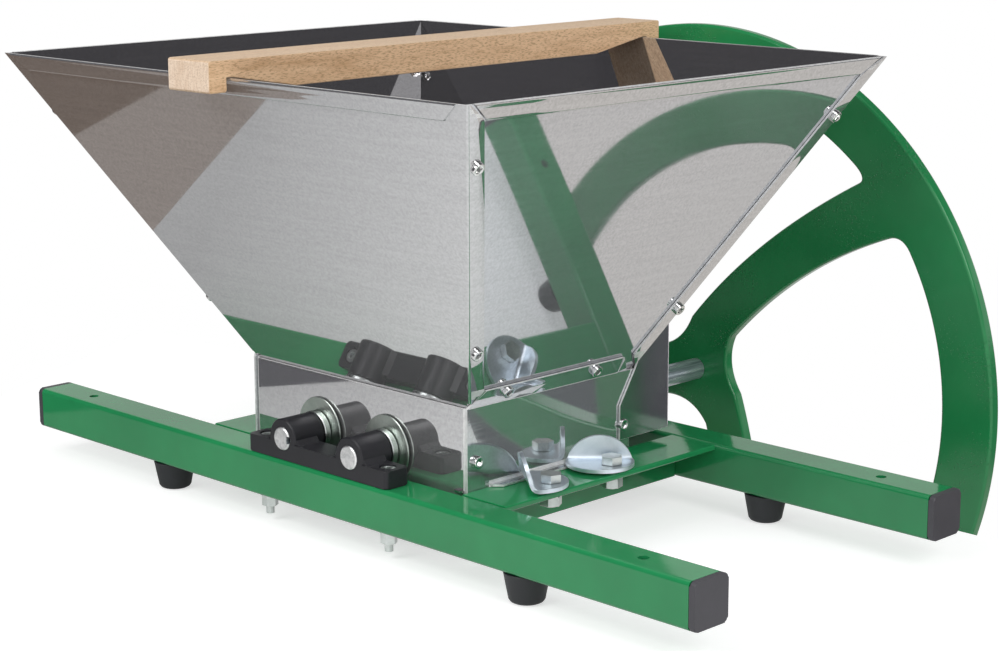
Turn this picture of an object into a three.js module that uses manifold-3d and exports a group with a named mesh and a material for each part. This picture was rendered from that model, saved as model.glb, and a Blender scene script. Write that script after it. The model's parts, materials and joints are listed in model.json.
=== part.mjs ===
// Apple scratter: a hand-cranked fruit mill on a frame of square tube.
// Millimetres, +Z up. X runs along the two rails and Y points away from the front.
// The origin lies under the middle of the rails, on the plane that the four feet stand on.
import * as THREE from "three";
import { mergeVertices } from "three/addons/utils/BufferGeometryUtils.js";
import Module from "manifold-3d";

const wasm = await Module();
wasm.setup();

// Clearances
const SEAT = 0.3; // between pieces that rest on each other
const RUN = 0.3; // all round a shaft in its bore
const TIP_GAP = 1; // between a roller and the walls at its ends

// Frame of square tube
const TUBE = 30;
const TUBE_WALL = 2;
const TUBE_CORNER = 3;
const RAIL_LENGTH = 646;
const RAIL_PITCH = 236;
const CAP_THICKNESS = 4.5;
const CAP_PLUG = 14;
const FREE_HOLE = 7;
const FREE_HOLE_X = 276;

// Rubber feet
const FOOT_HEIGHT = 20;
const FOOT_TOP = 30;
const FOOT_BOTTOM = 24;
const FOOT_ROUND = 4;
const FOOT_STEM = 8;
const FOOT_BARB = 1.2;
const FOOT_PITCH = 358;
const FOOT_SHIFT = 2; // the feet sit a little to the right of the rails' middle

// Cross angles between the rails
const ANGLE_FLANGE = 40;
const ANGLE_WALL = 4;
const ANGLE_ROOT = 4;
const BAY_WIDTH = 216;

// Shafts, collars, washers and bearing blocks
const SHAFT = 16;
const SHAFT_CHAMFER = 1;
const SHAFT_PROUD = 1;
const SHAFT_RISE = 15;
const KEYWAY_WIDTH = 5;
const KEYWAY_DEPTH = 2.5;
const GEAR_MODULE = 4;
const GEAR_TEETH = 17;
const PAIR_CENTRE_X = -2.5;
const COLLAR = 28;
const COLLAR_LENGTH = 4.8;
const WASHER = 45.5;
const WASHER_THICKNESS = 2.4;
const BLOCK_LENGTH = 141;
const BLOCK_HEIGHT = 12;
const BLOCK_DEPTH = 20;
const BLOCK_CORNER = 3;
const BLOCK_OVERHANG = 1.4;
const BOSS = 27;
const BOSS_LENGTH = 26.6;
const EAR_INSET = 9.5;
const EAR_RECESS = 11.5;
const EAR_RECESS_DEPTH = 7;
const M6 = 6;
const M6_HEAD = 10;
const M6_HEAD_HEIGHT = 6;
const M6_SOCKET = 5;
const M6_NUT = 10;
const M6_NUT_HEIGHT = 7;
const M6_NUT_FLANGE = 12.5;
const M6_NUT_FLANGE_HEIGHT = 2;
const M6_THREAD_END = 5;
const HOLE_PLAY = 0.6;

// Lower box of folded sheet
const SHEET = 1.5;
const BOX_DEPTH = 144;
const BOX_BOTTOM = 26;
const BOX_TOP = 104.6;
const BOX_KNEE = 81;
const BOX_FOLD = 12;
const BOX_BEND = 2.5;
const EDGE_PROUD = 0.5;
const SHAFT_HOLE_PLAY = 1.5;
const LAP_HEIGHT = 11.9;
const LAP_CHAMFER = 9;
const LAP_SHORT = 1;
const SIDE_BACK = 11;
const TAB_REACH = 8.5;
const TAB_LENGTH = 106;
const TAB_CHAMFER = 5;
const TAB_BEND = 3.5;
const TAB_OUTER_BEND = 3.4; // less than the height that the bend may take

// Cover over the two gears
const COVER_BACK = 99.6;
const COVER_TOP = 135;
const COVER_BOTTOM = 57;
const COVER_BEND = 4;
const COVER_LAP = 12;

// Hopper
const RIM_HEIGHT = 318.6;
const RIM_WIDTH = 456;
const RIM_LENGTH = 394;
const RIM_OVERHANG = 119.2;
const THROAT_LENGTH = 156.6;
const HEM = 13;
const HEM_END = 6; // from the corner to the hem's end, at the rim
const HEM_SLANT = 10; // how much further the hem's end lies at its foot
const CORNER_FLANGE = 13;
const SKIRT = 15;

// Rollers and gears
const ROLLER_TIP = 40;
const ROLLER_CORE = 22;
const ROLLER_DISC = 9;
const ROLLER_PITCH = 20;
const ROLLER_TEETH = 6;
const ROLLER_ROOT = 25;
const TOOTH_LEAN = 0.22;
const GEAR_FACE = 18;
const GEAR_HUB = 32;
const GEAR_HUB_LENGTH = 8;
const GEAR_FRONT = 67;
const PRESSURE_ANGLE = THREE.MathUtils.degToRad(20);
const BACKLASH = 0.6;

// Flywheel
const WHEEL_FRONT = 221;
const WHEEL_THICKNESS = 9.5;
const WHEEL_RADIUS = 261.5;
const WHEEL_BAND = 40.9; // the rim's width, from its outer edge to the windows
const WHEEL_ROUND = 1.8;
const SPOKES = 3;
const WINDOW_FILLET = 13;
const HUB_SPIGOT = 13; // the stepped end of the drive shaft, in the wheel's bore
const HUB_SCREW = 8;
const HUB_SCREW_LENGTH = 20;
const HUB_SCREW_HEAD = 13;
const HUB_SCREW_HEAD_HEIGHT = 6;
const HUB_FLANGE = 22;
const HUB_FLANGE_THICKNESS = 2;

// Crank pin and grip on the outer face of the wheel
const CRANK_INSET = 21.5; // from the wheel's outer edge
const CRANK_ANGLE = THREE.MathUtils.degToRad(-79);
const CRANK_PIN = 10;
const CRANK_HEAD = 17;
const CRANK_HEAD_HEIGHT = 6.4;
const CRANK_NUT = 17;
const CRANK_NUT_HEIGHT = 8;
const GRIP_LENGTH = 110;
const GRIP_RADIUS = 16;
const GRIP_NECK = 12.5;

// Wooden bar over the hopper
const BAR_WIDTH = 39.5;
const BAR_HEIGHT = 20;
const BAR_NOTCH = 9;
const BAR_HOOK = 14;
const BAR_SLOPE = 51;
const BAR_PLAY = 1.2;
const BAR_SKEW = THREE.MathUtils.degToRad(1.3);
const BAR_SHIFT = -3;

// Clamp plates on the right cross angle, which hold a tab of the lower box down
const CLAMP_DISC = 46;
const CLAMP_LENGTH = 49; // standing and lying half together, over the bend
const CLAMP_THICKNESS = 2.6;
const CLAMP_BEND = 6;
const CLAMP_BOLT_X = 139.6;
const NEAR_CLAMP = {
  name: "near",
  boltY: -53.4,
  turn: 53,
  lean: 13,
  rise: 21.5,
  toBend: 15.3,
  aside: 4.1,
  nutTurn: 0,
};
const FAR_CLAMP = {
  name: "far",
  boltY: 5.2,
  turn: -45,
  lean: 0,
  rise: 18.8,
  toBend: 14.6,
  aside: -7.5,
  nutTurn: -15,
};
const M8 = 8;
const M8_HEX = 13;
const M8_HEAD_HEIGHT = 5.3;
const M8_NUT_HEIGHT = 6.5;
const M8_THREAD_PROUD = 1;

// Places that follow from the sizes above
const RAIL_TOP = FOOT_HEIGHT + TUBE;
const RAIL_Y = RAIL_PITCH / 2;
const BAY_HALF = BAY_WIDTH / 2;
const SHAFT_Z = RAIL_TOP + SHAFT_RISE;
const SHAFT_SPACING = GEAR_MODULE * GEAR_TEETH;
const DRIVE_X = PAIR_CENTRE_X + SHAFT_SPACING / 2;
const DRIVEN_X = PAIR_CENTRE_X - SHAFT_SPACING / 2;
const BLOCK_FRONT = RAIL_Y + TUBE / 2 - BLOCK_OVERHANG;
const BOSS_BACK = BLOCK_FRONT - BOSS_LENGTH;
const BLOCK_BOTTOM = RAIL_TOP + SEAT;
const BLOCK_BOLT_Y = BLOCK_FRONT - BLOCK_DEPTH / 2;
const BLOCK_BOLT_REACH = BLOCK_LENGTH / 2 - EAR_INSET;
const BOX_HALF = BAY_HALF - SEAT;
const BOX_INNER_HALF = BOX_HALF - SHEET;
const BOX_FRONT = -(BOSS_BACK - SEAT - COLLAR_LENGTH - SEAT - WASHER_THICKNESS - SEAT);
const BOX_BACK = BOX_FRONT + BOX_DEPTH;
const COVER_HALF = BOX_HALF + SEAT + SHEET;
const THROAT_FRONT = BOX_FRONT + SHEET + SEAT;
const THROAT_BACK = THROAT_FRONT + THROAT_LENGTH;
const HOPPER_RISE = RIM_HEIGHT - BOX_TOP;
const RIM_INNER_RADIUS = WHEEL_RADIUS - WHEEL_BAND;
const CRANK_RADIUS = WHEEL_RADIUS - CRANK_INSET;

const STEEL = { color: 0xb9bcbf, roughness: 0.25, metalness: 1 };
const ZINC = { color: 0xc5cac8, roughness: 0.35, metalness: 1 };
const GREEN = { color: 0x2f8a52, roughness: 0.35, metalness: 0.1 };
const BLACK = { color: 0x26262a, roughness: 0.55, metalness: 0 };
const RUBBER = { color: 0x1c1c1e, roughness: 0.8, metalness: 0 };
const IRON = { color: 0x7f8285, roughness: 0.45, metalness: 1 };
const BEECH = { color: 0xd9ae7c, roughness: 0.6, metalness: 0 };

const scratter = new THREE.Group();
scratter.name = "apple_scratter";

// A closed geometry as a solid that can be cut and joined.
function solid(geometry) {
  const bare = geometry.clone();
  bare.deleteAttribute("normal");
  bare.deleteAttribute("uv");
  const merged = mergeVertices(bare, 1e-4);
  const vertProperties = Float32Array.from(merged.attributes.position.array);
  const triVerts = Uint32Array.from(merged.index.array);
  return new wasm.Manifold(new wasm.Mesh({ numProp: 3, vertProperties, triVerts }));
}

function joined(...solids) {
  return solids.reduce((whole, piece) => whole.add(piece));
}

function cut(body, ...tools) {
  return tools.reduce((rest, tool) => rest.subtract(tool), body);
}

function geometryOf(body) {
  const mesh = body.getMesh();
  const geometry = new THREE.BufferGeometry();
  geometry.setAttribute("position", new THREE.BufferAttribute(mesh.vertProperties, 3));
  geometry.setIndex(new THREE.BufferAttribute(mesh.triVerts, 1));
  const faceted = geometry.toNonIndexed();
  faceted.computeVertexNormals();
  return faceted;
}

function add(name, shape, finish, parent = scratter) {
  const geometry = shape.isBufferGeometry ? shape : geometryOf(shape);
  const mesh = new THREE.Mesh(geometry, new THREE.MeshStandardMaterial(finish));
  mesh.name = name;
  parent.add(mesh);
  return mesh;
}

// Outlines are lists of points in a plane.
function point(x, y) {
  return new THREE.Vector2(x, y);
}

function arc(x, y, radius, from, to, steps) {
  return Array.from({ length: steps + 1 }, (_, i) => {
    const angle = from + ((to - from) * i) / steps;
    return point(x + radius * Math.cos(angle), y + radius * Math.sin(angle));
  });
}

function circle(x, y, diameter, steps = 20) {
  return arc(x, y, diameter / 2, 0, 2 * Math.PI, steps).slice(0, -1);
}

function hexagon(x, y, acrossFlats, turn = 0) {
  return arc(x, y, acrossFlats / Math.sqrt(3), turn, turn + 2 * Math.PI, 6).slice(0, -1);
}

// A polygon whose corners [x, y, radius] are rounded where they state a radius.
function outline(corners, steps = 3) {
  return corners.flatMap(([x, y, radius], i) => {
    if (!radius) return [point(x, y)];
    const corner = point(x, y);
    const before = corners[(i + corners.length - 1) % corners.length];
    const after = corners[(i + 1) % corners.length];
    const back = point(before[0], before[1]).sub(corner).normalize();
    const on = point(after[0], after[1]).sub(corner).normalize();
    const half = Math.acos(back.dot(on)) / 2;
    const centre = back.clone().add(on).normalize();
    centre.multiplyScalar(radius / Math.sin(half)).add(corner);
    const start = back.multiplyScalar(radius / Math.tan(half)).add(corner).sub(centre);
    const end = on.multiplyScalar(radius / Math.tan(half)).add(corner).sub(centre);
    const from = Math.atan2(start.y, start.x);
    let turn = Math.atan2(end.y, end.x) - from;
    if (turn > Math.PI) turn -= 2 * Math.PI;
    if (turn < -Math.PI) turn += 2 * Math.PI;
    return arc(centre.x, centre.y, radius, from, from + turn, steps);
  });
}

function rectangle(x0, y0, x1, y1, radius = 0) {
  return outline([
    [x0, y0, radius],
    [x1, y0, radius],
    [x1, y1, radius],
    [x0, y1, radius],
  ]);
}

// The outline of a sheet of one thickness that is folded along a path of points.
// A positive thickness lies on the left of the path.
function foldedSheet(path, thickness, outerRadius = 0, innerRadius = 0) {
  const offset = path.map(([x, y], i) => {
    const here = point(x, y);
    const before = path[i - 1] && point(...path[i - 1]);
    const after = path[i + 1] && point(...path[i + 1]);
    const incoming = before && here.clone().sub(before).normalize();
    const outgoing = after && after.clone().sub(here).normalize();
    const a = incoming || outgoing;
    const b = outgoing || incoming;
    const normal = point(-a.y - b.y, a.x + b.x).normalize();
    const reach = thickness / (normal.x * -a.y + normal.y * a.x);
    return [here.x + normal.x * reach, here.y + normal.y * reach];
  });
  const inside = (i, radius) => (i > 0 && i < path.length - 1 ? radius : 0);
  const near = path.map(([x, y], i) => [x, y, inside(i, outerRadius)]);
  const far = offset.map(([x, y], i) => [x, y, inside(i, innerRadius)]).reverse();
  return outline([...near, ...far]);
}

function extrusion(points, depth, holes) {
  const shape = new THREE.Shape(points);
  shape.holes = holes.map((hole) => new THREE.Path(hole));
  return new THREE.ExtrudeGeometry(shape, { depth, bevelEnabled: false });
}

// Prisms along each axis. Outlines across X hold (y, z), across Y (x, z) and across Z (x, y).
const X = new THREE.Vector3(1, 0, 0);
const Y = new THREE.Vector3(0, 1, 0);
const Z = new THREE.Vector3(0, 0, 1);

function alongX(points, x0, x1, ...holes) {
  const place = new THREE.Matrix4().makeBasis(Y, Z, X).setPosition(x0, 0, 0);
  return solid(extrusion(points, x1 - x0, holes).applyMatrix4(place));
}

function alongY(points, y0, y1, ...holes) {
  const place = new THREE.Matrix4().makeBasis(X, Z, Y.clone().negate()).setPosition(0, y1, 0);
  return solid(extrusion(points, y1 - y0, holes).applyMatrix4(place));
}

function alongZ(points, z0, z1, ...holes) {
  return solid(extrusion(points, z1 - z0, holes).translate(0, 0, z0));
}

// A turned piece about an axis along Y through (x, z). The profile holds [radius, y] pairs.
function turned(profile, x, z, steps = 20) {
  const points = profile.map(([radius, y]) => point(radius, y));
  return solid(new THREE.LatheGeometry(points, steps).translate(x, 0, z));
}

// A sheet-metal form whose outline across Z changes evenly from one height to another.
function loft(sectionAt, z0, z1) {
  const low = sectionAt(z0);
  const high = sectionAt(z1);
  const n = low.length;
  const caps = THREE.ShapeUtils.triangulateShape(low, []);
  const positions = [
    ...low.flatMap((p) => [p.x, p.y, z0]),
    ...high.flatMap((p) => [p.x, p.y, z1]),
  ];
  const index = caps.flatMap(([a, b, c]) => [c, b, a, a + n, b + n, c + n]);
  low.forEach((_, i) => {
    const next = (i + 1) % n;
    index.push(i, next, next + n, i, next + n, i + n);
  });
  const geometry = new THREE.BufferGeometry();
  geometry.setAttribute("position", new THREE.Float32BufferAttribute(positions, 3));
  geometry.setIndex(index);
  return solid(geometry);
}

function mirroredX(points) {
  return points.map((p) => point(-p.x, p.y)).reverse();
}

// Frame
const rails = [
  { name: "near", side: -1 },
  { name: "far", side: 1 },
];
const flanks = [
  { name: "left", side: -1 },
  { name: "right", side: 1 },
];

function footX(end) {
  return FOOT_SHIFT + (end * FOOT_PITCH) / 2;
}

function rail(side) {
  const y = side * RAIL_Y;
  const z = FOOT_HEIGHT + TUBE / 2;
  const half = TUBE / 2;
  const bore = half - TUBE_WALL;
  const tube = alongX(
    rectangle(y - half, z - half, y + half, z + half, TUBE_CORNER),
    -RAIL_LENGTH / 2,
    RAIL_LENGTH / 2,
    rectangle(y - bore, z - bore, y + bore, z + bore, TUBE_CORNER - TUBE_WALL),
  );
  const through = (x, holeY, diameter, low, high) =>
    alongZ(circle(x, holeY, diameter, 12), low, high);
  const holes = [-1, 1].flatMap((end) => [
    through(
      PAIR_CENTRE_X + end * BLOCK_BOLT_REACH,
      side * BLOCK_BOLT_Y,
      M6 + HOLE_PLAY,
      FOOT_HEIGHT - TUBE_WALL,
      RAIL_TOP + TUBE_WALL,
    ),
    through(end * FREE_HOLE_X, y, FREE_HOLE, z, RAIL_TOP + TUBE_WALL),
    through(footX(end), y, FOOT_STEM + HOLE_PLAY, FOOT_HEIGHT - TUBE_WALL, z),
  ]);
  return cut(tube, ...holes);
}

function endCap(side, end) {
  const y = side * RAIL_Y;
  const z = FOOT_HEIGHT + TUBE / 2;
  const half = TUBE / 2;
  const plug = half - TUBE_WALL - SEAT;
  const inner = RAIL_LENGTH / 2 + SEAT;
  const outer = inner + CAP_THICKNESS;
  const plate = alongX(
    rectangle(y - half, z - half, y + half, z + half, TUBE_CORNER),
    ...(end > 0 ? [inner, outer] : [-outer, -inner]),
  );
  const stem = alongX(
    rectangle(y - plug, z - plug, y + plug, z + plug, TUBE_CORNER - TUBE_WALL),
    ...(end > 0 ? [inner - CAP_PLUG, inner + SEAT] : [-inner - SEAT, CAP_PLUG - inner]),
  );
  return joined(plate, stem);
}

// A push-in foot: a tapered rubber body with a stem and a barb that holds inside the tube.
function foot() {
  const top = FOOT_HEIGHT - SEAT;
  const wallTop = FOOT_HEIGHT + TUBE_WALL + SEAT;
  const stem = FOOT_STEM / 2;
  const bottom = FOOT_BOTTOM / 2;
  const round = arc(bottom - FOOT_ROUND, FOOT_ROUND, FOOT_ROUND, -Math.PI / 2, -0.15, 3);
  const profile = [
    point(0, 0),
    ...round,
    point(FOOT_TOP / 2, top),
    point(stem, top),
    point(stem, wallTop),
    point(stem + FOOT_BARB, wallTop),
    point(stem - 1, wallTop + FOOT_STEM / 2),
    point(0, wallTop + FOOT_STEM / 2),
  ];
  return new THREE.LatheGeometry(profile, 16).rotateX(Math.PI / 2);
}

function crossAngle(flank) {
  const end = RAIL_Y - TUBE / 2 - SEAT;
  const corners = [
    [BAY_HALF, FOOT_HEIGHT, 1],
    [BAY_HALF + ANGLE_WALL, FOOT_HEIGHT, 1],
    [BAY_HALF + ANGLE_WALL, RAIL_TOP - ANGLE_WALL, ANGLE_ROOT],
    [BAY_HALF + ANGLE_FLANGE, RAIL_TOP - ANGLE_WALL, 1],
    [BAY_HALF + ANGLE_FLANGE, RAIL_TOP, 1],
    [BAY_HALF, RAIL_TOP, 1],
  ];
  const profile = outline(corners, 2);
  return alongY(flank > 0 ? profile : mirroredX(profile), -end, end);
}

function boltHole(x, y, diameter) {
  return alongZ(circle(x, y, diameter + HOLE_PLAY, 12), FOOT_HEIGHT, RAIL_TOP + TUBE_WALL);
}

rails.forEach(({ name, side }) => {
  add(`${name}_rail`, rail(side), GREEN);
  flanks.forEach(({ name: end, side: flank }) => {
    add(`${name}_${end}_end_cap`, endCap(side, flank), BLACK);
    const rubber = add(`${name}_${end}_foot`, foot(), RUBBER);
    rubber.position.set(footX(flank), side * RAIL_Y, 0);
  });
});
add("left_cross_angle", crossAngle(-1), GREEN);
const clamps = [NEAR_CLAMP, FAR_CLAMP];
const clampHoles = clamps.map(({ boltY }) => boltHole(CLAMP_BOLT_X, boltY, M8));
add("right_cross_angle", cut(crossAngle(1), ...clampHoles), GREEN);

// Bearing blocks: one moulding on each rail with a boss for each shaft
function bearingBlock(side) {
  const facing = (back) => (side < 0 ? [-BLOCK_FRONT, -back] : [back, BLOCK_FRONT]);
  const [y0, y1] = facing(BLOCK_FRONT - BLOCK_DEPTH);
  const [b0, b1] = facing(BOSS_BACK);
  const half = BLOCK_LENGTH / 2;
  const top = BLOCK_BOTTOM + BLOCK_HEIGHT;
  const foundation = alongZ(
    rectangle(PAIR_CENTRE_X - half, y0, PAIR_CENTRE_X + half, y1, BLOCK_CORNER),
    BLOCK_BOTTOM,
    top,
  );
  const bosses = [DRIVE_X, DRIVEN_X].map((x) => alongY(circle(x, SHAFT_Z, BOSS, 28), b0, b1));
  const bores = [DRIVE_X, DRIVEN_X].map((x) =>
    alongY(circle(x, SHAFT_Z, SHAFT + 2 * RUN), b0 - 1, b1 + 1),
  );
  const bolts = [-1, 1].flatMap((end) => {
    const x = PAIR_CENTRE_X + end * BLOCK_BOLT_REACH;
    const y = side * BLOCK_BOLT_Y;
    return [
      alongZ(circle(x, y, M6 + HOLE_PLAY, 12), BLOCK_BOTTOM - 1, top + 1),
      alongZ(circle(x, y, EAR_RECESS, 16), top - EAR_RECESS_DEPTH, top + 1),
    ];
  });
  return cut(joined(foundation, ...bosses), ...bores, ...bolts);
}

// A socket-head screw down through a block and both walls of its rail
function blockBolt(x, y) {
  const seat = BLOCK_BOTTOM + BLOCK_HEIGHT - EAR_RECESS_DEPTH + SEAT;
  const headTop = seat + M6_HEAD_HEIGHT;
  const head = alongZ(circle(x, y, M6_HEAD, 16), seat, headTop);
  const shank = alongZ(circle(x, y, M6, 10), M6_THREAD_END, seat + 1);
  const socket = alongZ(hexagon(x, y, M6_SOCKET), headTop - M6_HEAD_HEIGHT / 2, headTop + 1);
  return cut(joined(head, shank), socket);
}

function blockNut(x, y) {
  const top = FOOT_HEIGHT - SEAT;
  const washerBottom = top - M6_NUT_FLANGE_HEIGHT;
  const flange = alongZ(circle(x, y, M6_NUT_FLANGE, 16), washerBottom, top);
  const hex = alongZ(hexagon(x, y, M6_NUT), washerBottom - M6_NUT_HEIGHT, top);
  const bore = alongZ(circle(x, y, M6 + 2 * RUN, 10), 0, FOOT_HEIGHT);
  return cut(joined(flange, hex), bore);
}

rails.forEach(({ name, side }) => {
  add(`${name}_bearing_block`, bearingBlock(side), BLACK);
  flanks.forEach(({ name: end, side: flank }) => {
    const x = PAIR_CENTRE_X + flank * BLOCK_BOLT_REACH;
    add(`${name}_${end}_block_bolt`, blockBolt(x, side * BLOCK_BOLT_Y), ZINC);
    add(`${name}_${end}_block_nut`, blockNut(x, side * BLOCK_BOLT_Y), ZINC);
  });
});

// Shafts with their collars and washers
const SHAFT_START = -BLOCK_FRONT - SHAFT_PROUD;
const WHEEL_BACK = WHEEL_FRONT + WHEEL_THICKNESS;
const DRIVE_END = WHEEL_BACK - SEAT;

// The drive shaft steps down to a spigot in the wheel's bore. Its end is bored for the hub screw.
function driveShaft() {
  const radius = SHAFT / 2;
  const spigot = HUB_SPIGOT / 2;
  const shoulder = WHEEL_FRONT - SEAT;
  const profile = [
    [0, SHAFT_START],
    [radius - SHAFT_CHAMFER, SHAFT_START],
    [radius, SHAFT_START + SHAFT_CHAMFER],
    [radius, shoulder],
    [spigot, shoulder],
    [spigot, DRIVE_END],
    [0, DRIVE_END],
  ];
  const bore = circle(DRIVE_X, SHAFT_Z, HUB_SCREW + 2 * RUN);
  const thread = alongY(bore, DRIVE_END - HUB_SCREW_LENGTH - 2, DRIVE_END + 1);
  return cut(turned(profile, DRIVE_X, SHAFT_Z), thread);
}

// The driven shaft keeps its open keyway up to its near end, on the right of its axis.
function drivenShaft() {
  const slot = rectangle(
    DRIVEN_X + SHAFT / 2 - KEYWAY_DEPTH,
    SHAFT_Z - KEYWAY_WIDTH / 2,
    DRIVEN_X + SHAFT,
    SHAFT_Z + KEYWAY_WIDTH / 2,
  );
  const radius = SHAFT / 2;
  const end = -SHAFT_START;
  const profile = [
    [0, SHAFT_START],
    [radius - SHAFT_CHAMFER, SHAFT_START],
    [radius, SHAFT_START + SHAFT_CHAMFER],
    [radius, end - SHAFT_CHAMFER],
    [radius - SHAFT_CHAMFER, end],
    [0, end],
  ];
  const keyway = alongY(slot, SHAFT_START - 1, SHAFT_START + BOSS_LENGTH);
  return cut(turned(profile, DRIVEN_X, SHAFT_Z), keyway);
}

function ring(x, y0, y1, diameter) {
  const bore = SHAFT + 2 * RUN;
  return alongY(circle(x, SHAFT_Z, diameter), y0, y1, circle(x, SHAFT_Z, bore));
}

const shafts = [
  { name: "drive", x: DRIVE_X },
  { name: "driven", x: DRIVEN_X },
];
add("drive_shaft", driveShaft(), STEEL);
add("driven_shaft", drivenShaft(), STEEL);
shafts.forEach(({ name, x }) => {
  const collarFront = -BOSS_BACK + SEAT;
  const collarBack = collarFront + COLLAR_LENGTH;
  const washerFront = collarBack + SEAT;
  const farCollar = BOSS_BACK - SEAT - COLLAR_LENGTH;
  add(`${name}_near_collar`, ring(x, collarFront, collarBack, COLLAR), ZINC);
  add(`${name}_near_washer`, ring(x, washerFront, washerFront + WASHER_THICKNESS, WASHER), ZINC);
  add(`${name}_far_collar`, ring(x, farCollar, farCollar + COLLAR_LENGTH, COLLAR), ZINC);
});

// Crushing rollers: a core with leaning star discs, the two rollers' discs interleaved
const ROLLER_FRONT = THROAT_FRONT + SHEET + TIP_GAP;
const ROLLER_BACK = BOX_BACK - SHEET - TIP_GAP;

function starDisc(x, y0, turn) {
  const step = (2 * Math.PI) / ROLLER_TEETH;
  const points = Array.from({ length: ROLLER_TEETH }, (_, i) => {
    const angle = turn + i * step;
    const at = (radius, share) =>
      point(
        x + radius * Math.cos(angle + share * step),
        SHAFT_Z + radius * Math.sin(angle + share * step),
      );
    return [
      at(ROLLER_ROOT, 0),
      at(ROLLER_TIP, 0.5 + TOOTH_LEAN),
      at(ROLLER_TIP, 0.5 + TOOTH_LEAN + 0.08),
      at(ROLLER_ROOT, 0.85),
    ];
  }).flat();
  return alongY(points, y0, y0 + ROLLER_DISC);
}

// Teeth lean the way the roller turns: lean is 1 or -1.
function roller(x, firstDisc, lean) {
  const count = Math.floor((ROLLER_BACK - firstDisc - ROLLER_DISC) / ROLLER_PITCH) + 1;
  const core = alongY(circle(x, SHAFT_Z, 2 * ROLLER_CORE, 18), ROLLER_FRONT, ROLLER_BACK);
  const discs = Array.from({ length: count }, (_, i) => {
    const turn = (i * Math.PI) / ROLLER_TEETH;
    return starDisc(x, firstDisc + i * ROLLER_PITCH, turn);
  });
  const bore = alongY(circle(x, SHAFT_Z, SHAFT + 2 * RUN, 16), ROLLER_FRONT - 1, ROLLER_BACK + 1);
  const body = cut(joined(core, ...discs), bore);
  return lean > 0 ? body : body.translate([-x, 0, 0]).mirror([1, 0, 0]).translate([x, 0, 0]);
}

add("drive_roller", roller(DRIVE_X, ROLLER_FRONT, 1), IRON);
add("driven_roller", roller(DRIVEN_X, ROLLER_FRONT + ROLLER_PITCH / 2, -1), IRON);

// Involute spur gears. The teeth are thinned by the backlash.
function gearOutline(x, turn) {
  const pitchRadius = (GEAR_MODULE * GEAR_TEETH) / 2;
  const baseRadius = pitchRadius * Math.cos(PRESSURE_ANGLE);
  const tipRadius = pitchRadius + GEAR_MODULE;
  const rootRadius = pitchRadius - 1.25 * GEAR_MODULE;
  const involute = (radius) => {
    const roll = Math.sqrt(Math.max((radius / baseRadius) ** 2 - 1, 0));
    return roll - Math.atan(roll);
  };
  const thickness = (Math.PI * GEAR_MODULE) / 2 - BACKLASH / 2;
  const halfAtPitch = thickness / (2 * pitchRadius) + involute(pitchRadius);
  const flank = [0, 0.35, 0.7, 1].map((share) => {
    const radius = baseRadius + (tipRadius - baseRadius) * share;
    return { radius, angle: halfAtPitch - involute(radius) };
  });
  const at = (radius, angle) =>
    point(x + radius * Math.cos(angle), SHAFT_Z + radius * Math.sin(angle));
  return Array.from({ length: GEAR_TEETH }, (_, i) => {
    const middle = turn + (i * 2 * Math.PI) / GEAR_TEETH;
    const rise = flank.map(({ radius, angle }) => at(radius, middle - angle));
    const fall = flank.map(({ radius, angle }) => at(radius, middle + angle)).reverse();
    const foot = halfAtPitch + 0.02;
    return [at(rootRadius, middle - foot), ...rise, ...fall, at(rootRadius, middle + foot)];
  }).flat();
}

function gear(x) {
  const back = GEAR_FRONT + GEAR_FACE;
  const teeth = alongY(gearOutline(x, 0), GEAR_FRONT, back);
  const hub = alongY(circle(x, SHAFT_Z, GEAR_HUB), back - 1, back + GEAR_HUB_LENGTH);
  const bore = alongY(
    circle(x, SHAFT_Z, SHAFT + 2 * RUN),
    GEAR_FRONT - 1,
    back + GEAR_HUB_LENGTH + 1,
  );
  return cut(joined(teeth, hub), bore);
}

// An odd number of teeth puts a tooth on one side of a gear opposite a gap on the other,
// so two gears at the same turn mesh.
shafts.forEach(({ name, x }) => add(`${name}_gear`, gear(x), IRON));

// Hopper lines at a height: outer faces of the four panels
const RIM_FRONT = THROAT_FRONT - RIM_OVERHANG;
const LEAN_X = Math.hypot(1, (RIM_WIDTH / 2 - BOX_HALF) / HOPPER_RISE);
const RIM_HALF = RIM_WIDTH / 2 - SHEET * LEAN_X;
const THROAT_HALF = BOX_HALF - (SHEET + SEAT) * LEAN_X;
const SPREAD_X = (RIM_HALF - THROAT_HALF) / HOPPER_RISE;
const SPREAD_FRONT = RIM_OVERHANG / HOPPER_RISE;
const LEAN_FRONT = Math.hypot(1, SPREAD_FRONT);
const PANEL_RIM_FRONT = RIM_FRONT + SHEET * LEAN_FRONT;
const PANEL_SPREAD_FRONT = (THROAT_FRONT - PANEL_RIM_FRONT) / HOPPER_RISE;
const PANEL_RIM_BACK = RIM_FRONT + RIM_LENGTH - SHEET * LEAN_FRONT;
const PANEL_SPREAD_BACK = (PANEL_RIM_BACK - THROAT_BACK) / HOPPER_RISE;

function halfWidthAt(z) {
  return THROAT_HALF + (z - BOX_TOP) * SPREAD_X;
}
function frontAt(z) {
  return THROAT_FRONT - (z - BOX_TOP) * PANEL_SPREAD_FRONT;
}
function backAt(z) {
  return THROAT_BACK + (z - BOX_TOP) * PANEL_SPREAD_BACK;
}

// The same lines a distance off the panels' outer faces
function halfWidthOff(z, distance) {
  return halfWidthAt(z) + distance * LEAN_X;
}
function frontOff(z, distance) {
  return frontAt(z) - distance * LEAN_FRONT;
}
function backOff(z, distance) {
  return backAt(z) + distance * LEAN_FRONT;
}

const HEM_BOTTOM = RIM_HEIGHT - HEM / LEAN_FRONT;

// How far the slanted end of a hem lies from the corner
function hemInset(z) {
  return HEM_END + (HEM_SLANT * (RIM_HEIGHT - z)) / (RIM_HEIGHT - HEM_BOTTOM);
}

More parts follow.
